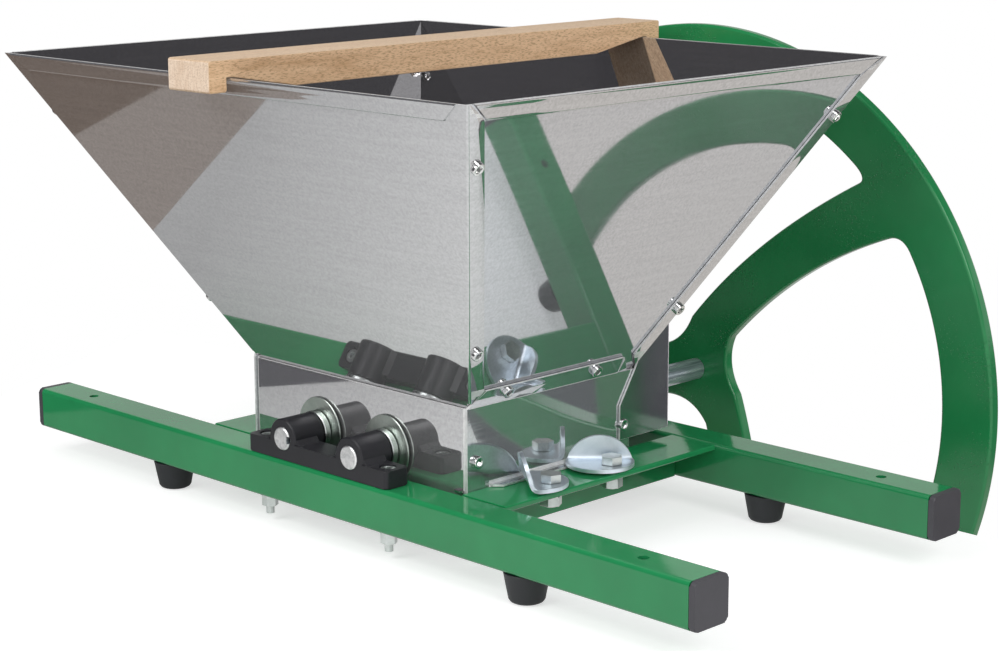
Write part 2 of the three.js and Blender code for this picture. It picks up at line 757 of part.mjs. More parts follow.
// The cut line of the side walls' lapped edge, across X
const SIDE_FRONT = BOX_FRONT - EDGE_PROUD;
const LAP_TOP = BOX_TOP + LAP_HEIGHT;
const LAP_BACK = BOX_BACK - LAP_SHORT;

// Front or back panel of the hopper. across(z, d) gives y at a distance d off its outer face and
// inward is 1 where the inside of the hopper lies towards +Y.
function endPanel(across, inward) {
  const flangeTo = (z) => across(z, 0) + inward * CORNER_FLANGE;
  const channel = (z) => {
    const outerX = halfWidthOff(z, SEAT + SHEET);
    const innerX = halfWidthOff(z, SEAT);
    const points = [
      point(-outerX, across(z, 0)),
      point(outerX, across(z, 0)),
      point(outerX, flangeTo(z)),
      point(innerX, flangeTo(z)),
      point(innerX, across(z, -SHEET)),
      point(-innerX, across(z, -SHEET)),
      point(-innerX, flangeTo(z)),
      point(-outerX, flangeTo(z)),
    ];
    return inward > 0 ? points : points.reverse();
  };
  const plate = (z) => {
    const half = halfWidthAt(z);
    const points = [
      point(-half, across(z, 0)),
      point(half, across(z, 0)),
      point(half, across(z, -SHEET)),
      point(-half, across(z, -SHEET)),
    ];
    return inward > 0 ? points : points.reverse();
  };
  const hem = (z) => {
    const half = halfWidthAt(z) - hemInset(z);
    const points = [
      point(-half, across(z, SHEET)),
      point(half, across(z, SHEET)),
      point(half, across(z, -SHEET / 2)),
      point(-half, across(z, -SHEET / 2)),
    ];
    return inward > 0 ? points : points.reverse();
  };
  const channelTop = HEM_BOTTOM - SEAT;
  return joined(
    loft(channel, BOX_TOP, channelTop),
    loft(plate, channelTop - 1, RIM_HEIGHT),
    loft(hem, HEM_BOTTOM, RIM_HEIGHT),
  );
}

// The side walls' lap, made a little larger, to clear the corner flanges from it
function lapClearance(margin) {
  const points = outline([
    [SIDE_FRONT - margin - LAP_CHAMFER, BOX_TOP - LAP_HEIGHT],
    [SIDE_FRONT - margin, BOX_TOP],
    [SIDE_FRONT - margin + LAP_CHAMFER, LAP_TOP],
    [SIDE_FRONT - margin + LAP_CHAMFER, LAP_TOP + margin],
    [LAP_BACK + margin, LAP_TOP + margin],
    [LAP_BACK + margin, LAP_TOP],
    [LAP_BACK + margin + LAP_CHAMFER, BOX_TOP],
    [LAP_BACK + margin + 2 * LAP_CHAMFER, BOX_TOP - LAP_HEIGHT],
  ]);
  return flanks.map(({ side }) => {
    const section = (z) => {
      const inner = halfWidthOff(z, SEAT / 2);
      const outer = halfWidthOff(z, 2 * SHEET);
      const strip = rectangle(inner, -RIM_LENGTH, outer, RIM_LENGTH);
      return side > 0 ? strip : mirroredX(strip);
    };
    const layer = loft(section, BOX_TOP - LAP_HEIGHT, RIM_HEIGHT);
    return layer.intersect(alongX(points, -RIM_WIDTH, RIM_WIDTH));
  });
}

function hopperFront() {
  const skirtHalf = BOX_INNER_HALF - 2 * SHEET - 2 * SEAT;
  const skirt = alongZ(
    rectangle(-skirtHalf, THROAT_FRONT, skirtHalf, THROAT_FRONT + SHEET),
    BOX_TOP - SKIRT,
    BOX_TOP + SEAT,
  );
  return cut(joined(endPanel(frontOff, 1), skirt), ...lapClearance(SEAT));
}

function hopperBack() {
  return cut(endPanel(backOff, -1), ...lapClearance(SEAT));
}

function hopperSide(side) {
  const facing = (points) => (side > 0 ? points : mirroredX(points));
  const plate = (z) =>
    facing([
      point(halfWidthOff(z, -SHEET), frontOff(z, -SHEET - SEAT)),
      point(halfWidthAt(z), frontOff(z, -SHEET - SEAT)),
      point(halfWidthAt(z), backOff(z, -SHEET - SEAT)),
      point(halfWidthOff(z, -SHEET), backOff(z, -SHEET - SEAT)),
    ]);
  const hem = (z) =>
    facing([
      point(halfWidthOff(z, -SHEET / 2), frontAt(z) + hemInset(z)),
      point(halfWidthOff(z, SHEET), frontAt(z) + hemInset(z)),
      point(halfWidthOff(z, SHEET), backAt(z) - hemInset(z)),
      point(halfWidthOff(z, -SHEET / 2), backAt(z) - hemInset(z)),
    ]);
  return joined(loft(plate, BOX_TOP, RIM_HEIGHT), loft(hem, HEM_BOTTOM, RIM_HEIGHT));
}

add("hopper_front_panel", hopperFront(), STEEL);
add("hopper_back_panel", hopperBack(), STEEL);
flanks.forEach(({ name, side }) => add(`hopper_${name}_panel`, hopperSide(side), STEEL));

// Lower box
function shaftHoles(y0, y1) {
  const hole = SHAFT + 2 * SHAFT_HOLE_PLAY;
  return shafts.map(({ x }) => alongY(circle(x, SHAFT_Z, hole, 24), y0, y1));
}

function boxFrontWall() {
  const half = BOX_INNER_HALF - SEAT;
  const path = [
    [-half, BOX_FRONT + BOX_FOLD],
    [-half, BOX_FRONT],
    [half, BOX_FRONT],
    [half, BOX_FRONT + BOX_FOLD],
  ];
  const channel = foldedSheet(path, SHEET, BOX_BEND, BOX_BEND - SHEET);
  const wall = alongZ(channel, BOX_BOTTOM, BOX_TOP);
  return cut(wall, ...shaftHoles(BOX_FRONT - 1, BOX_FRONT + BOX_FOLD));
}

// The back wall stands upright, leans back at its knee and laps the hopper's back panel.
function boxBackWall() {
  const half = BOX_INNER_HALF - SEAT;
  const lap = (z) => backOff(z, SEAT + SHEET);
  const path = [
    [BOX_BACK, BOX_BOTTOM],
    [BOX_BACK, BOX_KNEE],
    [lap(BOX_TOP), BOX_TOP],
    [lap(LAP_TOP), LAP_TOP],
  ];
  const wall = alongX(foldedSheet(path, SHEET), -half, half);
  const folds = flanks.map(({ side }) => {
    const strip = rectangle(half - SHEET, BOX_BACK - BOX_FOLD, half, BOX_BACK);
    return alongZ(side > 0 ? strip : mirroredX(strip), BOX_BOTTOM, BOX_KNEE - SEAT);
  });
  return cut(joined(wall, ...folds), ...shaftHoles(BOX_BACK - BOX_FOLD, BOX_BACK + 1));
}

// A side wall ends in a lap that leans out with the hopper. Between its ends, its foot is turned
// out as a tab that lies on the cross angle, and the wall goes no lower there.
function boxSideWall(side) {
  const facing = (points) => (side > 0 ? points : mirroredX(points));
  const path = [
    [BOX_HALF, BOX_BOTTOM],
    [BOX_HALF, BOX_TOP],
    [halfWidthOff(LAP_TOP, SEAT + SHEET), LAP_TOP],
  ];
  const reach = BOX_DEPTH;
  const sheet = alongY(facing(foldedSheet(path, SHEET)), -reach, reach);
  const outlineYZ = outline([
    [SIDE_FRONT, BOX_BOTTOM],
    [BOX_BACK + SIDE_BACK, BOX_BOTTOM],
    [BOX_BACK + SIDE_BACK, BOX_KNEE],
    [backOff(BOX_TOP, SHEET), BOX_TOP - SEAT],
    [LAP_BACK + LAP_CHAMFER, BOX_TOP],
    [LAP_BACK, LAP_TOP, 2],
    [SIDE_FRONT + LAP_CHAMFER, LAP_TOP],
    [SIDE_FRONT, BOX_TOP],
  ]);
  const wall = sheet.intersect(alongX(outlineYZ, -RIM_WIDTH, RIM_WIDTH));
  const tabFront = (BOX_FRONT + BOX_BACK - TAB_LENGTH) / 2;
  const tabBack = tabFront + TAB_LENGTH;
  const foot = RAIL_TOP + SEAT;
  const bendTop = foot + TAB_BEND;
  const tabPath = [
    [BOX_HALF + TAB_REACH, foot],
    [BOX_INNER_HALF, foot],
    [BOX_INNER_HALF, bendTop],
  ];
  const tab = alongY(
    facing(foldedSheet(tabPath, -SHEET, TAB_OUTER_BEND, TAB_BEND - SHEET)),
    tabFront,
    tabBack,
  );
  const tabOutline = facing([
    point(BOX_INNER_HALF - 1, tabFront),
    point(BOX_HALF + TAB_REACH - TAB_CHAMFER, tabFront),
    point(BOX_HALF + TAB_REACH, tabFront + TAB_CHAMFER),
    point(BOX_HALF + TAB_REACH, tabBack - TAB_CHAMFER),
    point(BOX_HALF + TAB_REACH - TAB_CHAMFER, tabBack),
    point(BOX_INNER_HALF - 1, tabBack),
  ]);
  const trimmed = tab.intersect(alongZ(tabOutline, foot - 1, bendTop + 1));
  const removed = alongZ(
    facing(rectangle(BOX_INNER_HALF - 1, tabFront, BOX_HALF + 1, tabBack)),
    BOX_BOTTOM - 1,
    bendTop,
  );
  return joined(cut(wall, removed), trimmed);
}

add("box_front_wall", boxFrontWall(), STEEL);
add("box_back_wall", boxBackWall(), STEEL);
flanks.forEach(({ name, side }) => add(`box_${name}_wall`, boxSideWall(side), STEEL));

// Gear cover: two sides, a back and a top, open below and against the hopper
function gearCover() {
  const lip = BOX_BACK - EDGE_PROUD;
  const path = [
    [COVER_HALF, lip],
    [COVER_HALF, COVER_BACK],
    [-COVER_HALF, COVER_BACK],
    [-COVER_HALF, lip],
  ];
  const folded = foldedSheet(path, SHEET, COVER_BEND, COVER_BEND - SHEET);
  const walls = alongZ(folded, COVER_BOTTOM, COVER_TOP);
  const lid = alongZ(
    outline([
      [-COVER_HALF, lip],
      [COVER_HALF, lip],
      [COVER_HALF, COVER_BACK, COVER_BEND],
      [-COVER_HALF, COVER_BACK, COVER_BEND],
    ]),
    COVER_TOP - SHEET,
    COVER_TOP,
  );
  const front = (z) => backOff(z, SEAT);
  const side = outline([
    [lip, COVER_BOTTOM],
    [COVER_BACK + 1, COVER_BOTTOM],
    [COVER_BACK + 1, COVER_TOP],
    [front(COVER_TOP), COVER_TOP],
    [front(BOX_TOP), BOX_TOP],
    [lip, BOX_KNEE],
  ]);
  const shell = joined(walls, lid).intersect(alongX(side, -RIM_WIDTH, RIM_WIDTH));
  return cut(shell, ...shaftHoles(COVER_BACK - COVER_LAP, COVER_BACK + 1));
}

add("gear_cover", gearCover(), STEEL);

// Flywheel with curved spokes. Spoke edges are given from the hub centre, for the first spoke.
const SPOKE_UPPER = new THREE.QuadraticBezierCurve(
  point(-6, 40),
  point(52, 108),
  point(144.6, 158),
);
const SPOKE_LOWER = new THREE.QuadraticBezierCurve(
  point(32, 29),
  point(90.8, 91.9),
  point(170.4, 120.9),
);
const WINDOW_WAIST = 28.3;

function turnedBy(points, angle) {
  return points.map((p) => p.clone().rotateAround(point(0, 0), angle));
}

// Where a spoke edge, carried on straight, meets the inside of the rim
function rimCorner(curve) {
  const end = curve.v2;
  const direction = end.clone().sub(curve.v1).normalize();
  const along = end.dot(direction);
  const reach = Math.sqrt(along ** 2 - end.lengthSq() + RIM_INNER_RADIUS ** 2) - along;
  return end.clone().add(direction.multiplyScalar(reach));
}

// One window lies between a spoke's lower edge and the next spoke's upper edge, clockwise.
function wheelWindow() {
  const step = (-2 * Math.PI) / SPOKES;
  const filletAngle = WINDOW_FILLET / RIM_INNER_RADIUS;
  const onRim = (angle) =>
    point(RIM_INNER_RADIUS * Math.cos(angle), RIM_INNER_RADIUS * Math.sin(angle));
  const first = rimCorner(SPOKE_LOWER);
  const [last] = turnedBy([rimCorner(SPOKE_UPPER)], step);
  const startAngle = first.angle() - filletAngle;
  const endAngle = last.angle() - 2 * Math.PI + filletAngle;
  const lower = SPOKE_LOWER.getPoints(6);
  const upper = turnedBy(SPOKE_UPPER.getPoints(6), step).reverse();
  const outFillet = new THREE.QuadraticBezierCurve(lower.at(-1), first, onRim(startAngle));
  const inFillet = new THREE.QuadraticBezierCurve(onRim(endAngle), last, upper[0]);
  const rimArc = arc(0, 0, RIM_INNER_RADIUS, startAngle, endAngle, 18);
  const waist = new THREE.QuadraticBezierCurve(
    upper.at(-1),
    point(2 * WINDOW_WAIST - (upper.at(-1).x + lower[0].x) / 2, (upper.at(-1).y + lower[0].y) / 2),
    lower[0],
  );
  return [
    ...lower.slice(0, -1),
    ...outFillet.getPoints(3).slice(0, -1),
    ...rimArc.slice(0, -1),
    ...inFillet.getPoints(3).slice(0, -1),
    ...upper.slice(0, -1),
    ...waist.getPoints(4).slice(0, -1),
  ];
}

const CRANK_X = CRANK_RADIUS * Math.cos(CRANK_ANGLE);
const CRANK_Z = CRANK_RADIUS * Math.sin(CRANK_ANGLE);

function flywheel() {
  const plate = new THREE.Shape(circle(0, 0, 2 * WHEEL_RADIUS, 84));
  const hole = wheelWindow();
  plate.holes = Array.from({ length: SPOKES }, (_, i) => {
    return new THREE.Path(turnedBy(hole, (i * 2 * Math.PI) / SPOKES));
  });
  const disc = new THREE.ExtrudeGeometry(plate, {
    depth: WHEEL_THICKNESS - 2 * WHEEL_ROUND,
    bevelThickness: WHEEL_ROUND,
    bevelSize: WHEEL_ROUND,
    bevelOffset: -WHEEL_ROUND,
    bevelSegments: 1,
  });
  const place = new THREE.Matrix4().makeBasis(X, Z, Y.clone().negate());
  place.setPosition(DRIVE_X, WHEEL_BACK - WHEEL_ROUND, SHAFT_Z);
  const bore = alongY(
    circle(DRIVE_X, SHAFT_Z, HUB_SPIGOT + 2 * RUN),
    WHEEL_FRONT - 1,
    WHEEL_BACK + 1,
  );
  const pinHole = alongY(
    circle(DRIVE_X + CRANK_X, SHAFT_Z + CRANK_Z, CRANK_PIN + HOLE_PLAY, 20),
    WHEEL_FRONT - 1,
    WHEEL_BACK + 1,
  );
  return cut(solid(disc.applyMatrix4(place)), bore, pinHole);
}

// The hub screw's flange clamps the wheel against the shoulder of the drive shaft.
function hubScrew() {
  const seat = WHEEL_BACK + SEAT;
  const head = seat + HUB_FLANGE_THICKNESS;
  return joined(
    alongY(circle(DRIVE_X, SHAFT_Z, HUB_SCREW, 16), seat - HUB_SCREW_LENGTH, seat + 1),
    alongY(circle(DRIVE_X, SHAFT_Z, HUB_FLANGE, 28), seat, head),
    alongY(hexagon(DRIVE_X, SHAFT_Z, HUB_SCREW_HEAD), head - 1, head + HUB_SCREW_HEAD_HEIGHT),
  );
}

add("flywheel", flywheel(), GREEN);
add("hub_screw", hubScrew(), ZINC);

// Crank: a shoulder pin through the wheel with a nut in front and a turning grip behind
const GRIP_FRONT = WHEEL_BACK + SEAT;
const GRIP_BACK = GRIP_FRONT + GRIP_LENGTH;

function crankPin() {
  const x = DRIVE_X + CRANK_X;
  const z = SHAFT_Z + CRANK_Z;
  const headFront = GRIP_BACK + SEAT;
  const tip = WHEEL_FRONT - SEAT - CRANK_NUT_HEIGHT - 1;
  return joined(
    alongY(circle(x, z, CRANK_PIN, 20), tip, headFront + 1),
    alongY(circle(x, z, CRANK_HEAD, 20), headFront, headFront + CRANK_HEAD_HEIGHT),
  );
}

function crankNut() {
  const x = DRIVE_X + CRANK_X;
  const z = SHAFT_Z + CRANK_Z;
  const back = WHEEL_FRONT - SEAT;
  const bore = circle(x, z, CRANK_PIN + 2 * RUN, 20);
  return alongY(hexagon(x, z, CRANK_NUT), back - CRANK_NUT_HEIGHT, back, bore);
}

// The grip swells in the middle and is rounded at both ends.
function crankGrip() {
  const bore = CRANK_PIN / 2 + RUN;
  const swell = new THREE.CatmullRomCurve3([
    new THREE.Vector3(bore + 2, GRIP_FRONT, 0),
    new THREE.Vector3(GRIP_NECK, GRIP_FRONT + 3, 0),
    new THREE.Vector3(GRIP_RADIUS, GRIP_FRONT + GRIP_LENGTH * 0.55, 0),
    new THREE.Vector3(GRIP_NECK + 1, GRIP_BACK - 8, 0),
    new THREE.Vector3(bore + 4, GRIP_BACK, 0),
  ]);
  const profile = [
    [bore, GRIP_FRONT],
    ...swell.getPoints(9).map((p) => [p.x, Math.min(Math.max(p.y, GRIP_FRONT), GRIP_BACK)]),
    [bore, GRIP_BACK],
    [bore, GRIP_FRONT],
  ];
  return turned(profile, DRIVE_X + CRANK_X, SHAFT_Z + CRANK_Z, 16);
}

add("crank_pin", crankPin(), ZINC);
add("crank_nut", crankNut(), ZINC);
add("crank_grip", crankGrip(), BLACK);

// Wooden bar: notched over the rims, lying a little askew
function woodenBar() {
  const back = RIM_FRONT + RIM_LENGTH;
  const notch = RIM_HEIGHT + SEAT;
  const bottom = notch - BAR_NOTCH;
  const top = bottom + BAR_HEIGHT;
  const hookFront = RIM_FRONT - BAR_PLAY;
  const hookBack = back + BAR_PLAY;
  const profile = outline([
    [hookFront - BAR_HOOK, top, 1.5],
    [hookFront - BAR_HOOK, bottom, 1.5],
    [hookFront, bottom, 1.5],
    [hookFront, notch],
    [RIM_FRONT + SHEET * 2, notch],
    [RIM_FRONT + SHEET * 2 + BAR_SLOPE, bottom],
    [back - SHEET * 2 - BAR_SLOPE, bottom],
    [back - SHEET * 2, notch],
    [hookBack, notch],
    [hookBack, bottom, 1.5],
    [hookBack + BAR_HOOK, bottom, 1.5],
    [hookBack + BAR_HOOK, top, 1.5],
  ]);
  const centre = (RIM_FRONT + back) / 2;
  const bar = alongX(profile, -BAR_WIDTH / 2, BAR_WIDTH / 2);
  return { shape: bar.translate([0, -centre, 0]), centre };
}

const { shape: barShape, centre: barCentre } = woodenBar();
const bar = add("wooden_bar", barShape, BEECH);
bar.position.set(BAR_SHIFT, barCentre, 0);
bar.rotation.z = BAR_SKEW;

// Clamp plates: a disc folded up along a chord, on a bolt. The disc's middle lies aside of the
// bolt by the given distance and the standing half leans away from the bolt by the given degrees.
function clampPlate({ lean, rise, toBend, aside }) {
  const radius = CLAMP_DISC / 2;
  const tilt = THREE.MathUtils.degToRad(lean);
  const path = [
    [CLAMP_DISC, 0],
    [-toBend, 0],
    [-toBend - CLAMP_DISC * Math.sin(tilt), CLAMP_DISC * Math.cos(tilt)],
  ];
  const angle = alongY(
    foldedSheet(path, -CLAMP_THICKNESS, CLAMP_BEND, CLAMP_BEND - CLAMP_THICKNESS),
    -CLAMP_DISC,
    CLAMP_DISC,
  );
  const middle = CLAMP_LENGTH - rise - radius - toBend;
  const lying = alongZ(circle(middle, aside, CLAMP_DISC, 40), 0, CLAMP_THICKNESS);
  const standing = alongX(circle(aside, rise - radius, CLAMP_DISC, 40), -CLAMP_BEND, CLAMP_BEND)
    .rotate([0, -lean, 0])
    .translate([-toBend, 0, 0]);
  const hole = alongZ(circle(0, 0, M8 + 2 * RUN, 16), -1, CLAMP_THICKNESS + 1);
  return cut(joined(angle.intersect(lying), angle.intersect(standing)), hole);
}

const CLAMP_BOTTOM = RAIL_TOP + SEAT + SHEET + SEAT;
const CLAMP_NUT_TOP = RAIL_TOP - ANGLE_WALL - SEAT;
const CLAMP_NUT_BOTTOM = CLAMP_NUT_TOP - M8_NUT_HEIGHT;

function clampBolt() {
  const seat = CLAMP_BOTTOM + CLAMP_THICKNESS + SEAT;
  return joined(
    alongZ(circle(0, 0, M8, 12), CLAMP_NUT_BOTTOM - M8_THREAD_PROUD, seat + 1),
    alongZ(hexagon(0, 0, M8_HEX, -Math.PI / 4), seat, seat + M8_HEAD_HEIGHT),
  );
}

function clampNut({ nutTurn }) {
  const bore = circle(0, 0, M8 + 2 * RUN, 12);
  const hex = hexagon(0, 0, M8_HEX, THREE.MathUtils.degToRad(nutTurn));
  return alongZ(hex, CLAMP_NUT_BOTTOM, CLAMP_NUT_TOP, bore);
}

clamps.forEach((clamp) => {
  const place = new THREE.Group();
  place.position.set(CLAMP_BOLT_X, clamp.boltY, 0);
  scratter.add(place);
  add(`${clamp.name}_clamp_bolt`, clampBolt(), ZINC, place);
  add(`${clamp.name}_clamp_nut`, clampNut(clamp), ZINC, place);
  const plate = add(`${clamp.name}_clamp_plate`, clampPlate(clamp), ZINC, place);
  plate.position.z = CLAMP_BOTTOM;
  plate.rotation.z = THREE.MathUtils.degToRad(clamp.turn);
});

export default scratter;
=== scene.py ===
# The looks of the apple scratter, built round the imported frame. Metres, +Z up.
# Sizes below are in millimetres, as in part.mjs, and mm() turns them into metres.
import json
import math

import bmesh
import bpy
from mathutils import Matrix, Vector

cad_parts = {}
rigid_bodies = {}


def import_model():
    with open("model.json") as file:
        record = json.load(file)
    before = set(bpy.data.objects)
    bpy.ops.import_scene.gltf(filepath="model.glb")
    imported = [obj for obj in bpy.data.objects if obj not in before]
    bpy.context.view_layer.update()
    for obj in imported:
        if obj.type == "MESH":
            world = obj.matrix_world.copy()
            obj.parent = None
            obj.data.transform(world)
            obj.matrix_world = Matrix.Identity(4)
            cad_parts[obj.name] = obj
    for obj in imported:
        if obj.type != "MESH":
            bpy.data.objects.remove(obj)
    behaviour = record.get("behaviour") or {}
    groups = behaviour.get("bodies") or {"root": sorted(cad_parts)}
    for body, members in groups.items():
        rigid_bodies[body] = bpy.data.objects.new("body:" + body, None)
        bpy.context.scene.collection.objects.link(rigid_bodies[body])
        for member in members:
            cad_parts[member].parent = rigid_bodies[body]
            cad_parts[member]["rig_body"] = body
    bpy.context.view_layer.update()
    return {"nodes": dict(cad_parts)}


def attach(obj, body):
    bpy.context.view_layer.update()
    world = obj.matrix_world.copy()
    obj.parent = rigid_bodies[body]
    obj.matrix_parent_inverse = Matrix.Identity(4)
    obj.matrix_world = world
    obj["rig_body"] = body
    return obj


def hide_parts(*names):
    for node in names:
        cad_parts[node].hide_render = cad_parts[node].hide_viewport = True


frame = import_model()
NODES = frame["nodes"]

X = Vector((1, 0, 0))
Y = Vector((0, 1, 0))
Z = Vector((0, 0, 1))
ENDS = (("left", -1), ("right", 1))

# Photo camera: place in millimetres, direction as axes, and its optical centre in pixels
PHOTO_WIDTH = 999
PHOTO_HEIGHT = 651
FOCAL_PIXELS = 2210.1
CENTRE_PIXEL = (496.575, 319.972)
CAMERA_PLACE = (1087.3, -1047.8, 457.0)
CAMERA_RIGHT = Vector((0.706711, 0.707496, -0.003089))
CAMERA_UP = Vector((-0.146740, 0.150846, 0.977606))
SENSOR_WIDTH = 36

# Sizes that part.mjs states
SEAT = 0.3
RUN = 0.3
TUBE = 30
TUBE_WALL = 2
TUBE_CORNER = 3
RAIL_LENGTH = 646
RAIL_Y = 118
FREE_HOLE = 7
FREE_HOLE_X = 276
CAP_THICKNESS = 4.5
CAP_PLUG = 14
FOOT_HEIGHT = 20
FOOT_PITCH = 358
FOOT_SHIFT = 2
RAIL_TOP = FOOT_HEIGHT + TUBE
SHAFT_RADIUS = 8
SHAFT_CHAMFER = 0.8
SHAFT_PROUD = 1
SHAFT_Z = 65
DRIVE_X = 31.5
DRIVEN_X = -36.5
PAIR_X = -2.5
KEYWAY_WIDTH = 5
KEYWAY_DEPTH = 2.5
COLLAR_RADIUS = 14
COLLAR_LENGTH = 4.8
WASHER_RADIUS = 22.75
BLOCK_FRONT = 131.6
BLOCK_LENGTH = 141
BLOCK_DEPTH = 20
BLOCK_HEIGHT = 12
BLOCK_CORNER = 3
BLOCK_BOTTOM = RAIL_TOP + SEAT
BLOCK_TOP = BLOCK_BOTTOM + BLOCK_HEIGHT
BOSS_RADIUS = 13.5
BOSS_LENGTH = 26.6
EAR_INSET = 9.5
EAR_RECESS_RADIUS = 5.75
EAR_RECESS_DEPTH = 7
BOLT_HOLE_RADIUS = 3.3
WHEEL_FRONT = 221
WHEEL_THICKNESS = 9.5
WHEEL_BACK = WHEEL_FRONT + WHEEL_THICKNESS
WHEEL_RADIUS = 261.5
RIM_INNER_RADIUS = 220.6
SPOKES = 3
WINDOW_FILLET = 13
HUB_SPIGOT = 13
HUB_THREAD_RADIUS = 4.3
HUB_SCREW_LENGTH = 20
CRANK_X = 77.3
CRANK_Z = -170.6
SHEET = 1.5
BOX_FRONT = -96.9
BOX_BACK = 47.1
BOX_TOP = 104.6
BOX_HALF = 107.7
LAP_TOP = 116.5
LAP_CHAMFER = 9
SKIRT = 15
RIM_HEIGHT = 318.6
RIM_WIDTH = 456
RIM_LENGTH = 394
RIM_OVERHANG = 119.2
THROAT_LENGTH = 156.6
HEM = 13
HEM_END = 6
HEM_SLANT = 10
CORNER_FLANGE = 13


def mm(*values):
    if len(values) == 1:
        return values[0] * 0.001
    return Vector(values) * 0.001


# Materials


class Nodes:
    """Adds shader nodes to a material, or to the world, and links them."""

    def __init__(self, owner, shader="Principled BSDF"):
        owner.use_nodes = True
        self.material = owner
        self.tree = owner.node_tree
        self.shader = self.tree.nodes[shader]
        self.place = self.tree.nodes.new("ShaderNodeTexCoord").outputs["Object"]

    def set(self, **values):
        for key, value in values.items():
            self.shader.inputs[key.replace("_", " ")].default_value = value

    def link(self, source, socket):
        self.tree.links.new(source, self.shader.inputs[socket])

    def split(self):
        """The place on the object as its X, Y and Z."""
        node = self.tree.nodes.new("ShaderNodeSeparateXYZ")
        self.tree.links.new(self.place, node.inputs["Vector"])
        return node.outputs

    def stretched(self, scale, turn=(0, 0, 0)):
        node = self.tree.nodes.new("ShaderNodeMapping")
        node.inputs["Rotation"].default_value = turn
        node.inputs["Scale"].default_value = scale
        self.tree.links.new(self.place, node.inputs["Vector"])
        return node.outputs["Vector"]

    def noise(self, scale, detail=2.0, rough=0.5, at=None, distortion=0.0):
        node = self.tree.nodes.new("ShaderNodeTexNoise")
        node.inputs["Scale"].default_value = scale
        node.inputs["Detail"].default_value = detail
        node.inputs["Roughness"].default_value = rough
        node.inputs["Distortion"].default_value = distortion
        self.tree.links.new(at or self.place, node.inputs["Vector"])
        return node.outputs["Fac"]

    def ramp(self, factor, *stops):
        node = self.tree.nodes.new("ShaderNodeValToRGB")
        elements = node.color_ramp.elements
        while len(elements) < len(stops):
            elements.new(0.5)
        for element, (position, colour) in zip(elements, stops):
            element.position = position
            grey = isinstance(colour, (int, float))
            element.color = (colour, colour, colour, 1) if grey else (*colour, 1)
        self.tree.links.new(factor, node.inputs["Fac"])
        return node.outputs["Color"]

    def spread(self, value, **limits):
        """Carries the value from one range over to another. A limit that isn't given is 0 or 1."""
        node = self.tree.nodes.new("ShaderNodeMapRange")
        for key, limit in limits.items():
            node.inputs[key.replace("_", " ")].default_value = limit
        self.tree.links.new(value, node.inputs["Value"])
        return node.outputs["Result"]

    def math(self, operation, a, b):
        node = self.tree.nodes.new("ShaderNodeMath")
        node.operation = operation
        for socket, value in zip(node.inputs, (a, b)):
            if isinstance(value, (int, float)):
                socket.default_value = value
            else:
                self.tree.links.new(value, socket)
        return node.outputs["Value"]

    def mix(self, factor, a, b):
        node = self.tree.nodes.new("ShaderNodeMix")
        node.data_type = "RGBA"
        sockets = [s for s in node.inputs if s.enabled]
        for socket, value in zip(sockets, (factor, a, b)):
            if isinstance(value, tuple):
                socket.default_value = (*value, 1)
            else:
                self.tree.links.new(value, socket)
        return [s for s in node.outputs if s.enabled][0]

    def bump(self, height, depth):
        """Adds relief to the relief that is there. A negative depth turns it inside out."""
        node = self.tree.nodes.new("ShaderNodeBump")
        node.invert = depth < 0
        node.inputs["Strength"].default_value = 1.0
        node.inputs["Distance"].default_value = mm(abs(depth))
        self.tree.links.new(height, node.inputs["Height"])
        previous = self.shader.inputs["Normal"].links
        if previous:
            self.tree.links.new(previous[0].from_socket, node.inputs["Normal"])
        self.link(node.outputs["Normal"], "Normal")


def material_nodes(name):
    return Nodes(bpy.data.materials.new(name))


def scaled(colour, factor):
    return tuple(factor * c for c in colour)


def steel_sheet(name, tone, streak, mirrored, rough=1.0, lean=0.0, straight=0.64):
    """Bright rolled sheet: cloudy grain, faint rolling streaks, a surface that is never quite flat. lean is
    how much its mirror image is tilted at the foot, easing off towards half the height called straight."""
    n = material_nodes(name)
    n.set(Metallic=mirrored)
    along = n.stretched(streak)
    cloud = n.noise(520, 4, 0.65)
    drawn = n.noise(1, 3, 0.6, at=along)
    patch = n.noise(26, 3, 0.6)
    base = n.ramp(n.math("ADD", n.math("MULTIPLY", cloud, 0.75), n.math("MULTIPLY", drawn, 0.25)),
                  (0.38, scaled(tone, 0.84)), (0.60, tone))
    n.link(base, "Base Color")
    n.link(n.ramp(n.math("MULTIPLY", patch, drawn), (0.1, 0.02 * rough), (0.45, 0.055 * rough)), "Roughness")
    n.bump(n.noise(7, 2, 0.5), 0.08)
    if lean:
        height = n.split()["Z"]
        eased = n.math("SUBTRACT", 1.0, n.math("DIVIDE", height, straight))
        n.bump(n.math("MULTIPLY", height, eased), 1000 * lean)
    return n.material


def cut_edge_highlight(name):
    """Sheared and rounded edges of the sheet, dull and even like a cut edge, and painted bright as a painted
    highlight so they stand out as light lines.
    """
    n = material_nodes(name)
    n.set(Metallic=0.45, Roughness=0.42)
    grain = n.noise(260, 3, 0.6)
    n.link(n.ramp(grain, (0.3, 0.74), (0.7, 0.95)), "Base Color")
    n.bump(grain, 0.02)
    return n.material


def green_paint(name, colour, roughness, grain_scale, specks=0.0):
    n = material_nodes(name)
    n.set(Roughness=roughness, IOR=1.5)
    patch = n.noise(14, 3, 0.6)
    n.link(n.ramp(patch, (0.3, scaled(colour, 0.88)), (0.7, scaled(colour, 1.08))), "Base Color")
    n.bump(n.noise(grain_scale, 2, 0.5), 0.03)
    if specks:
        clusters = n.ramp(n.noise(22, 2, 0.5), (0.45, 0.8), (0.62, 1.08))
        spots = n.math("MULTIPLY", n.noise(620, 1, 0.4), clusters)
        n.link(n.ramp(spots, (0.66, roughness), (0.72, roughness * 0.4)), "Roughness")
        n.bump(n.ramp(spots, (0.64, 0.0), (0.72, 1.0)), specks)
    return n.material


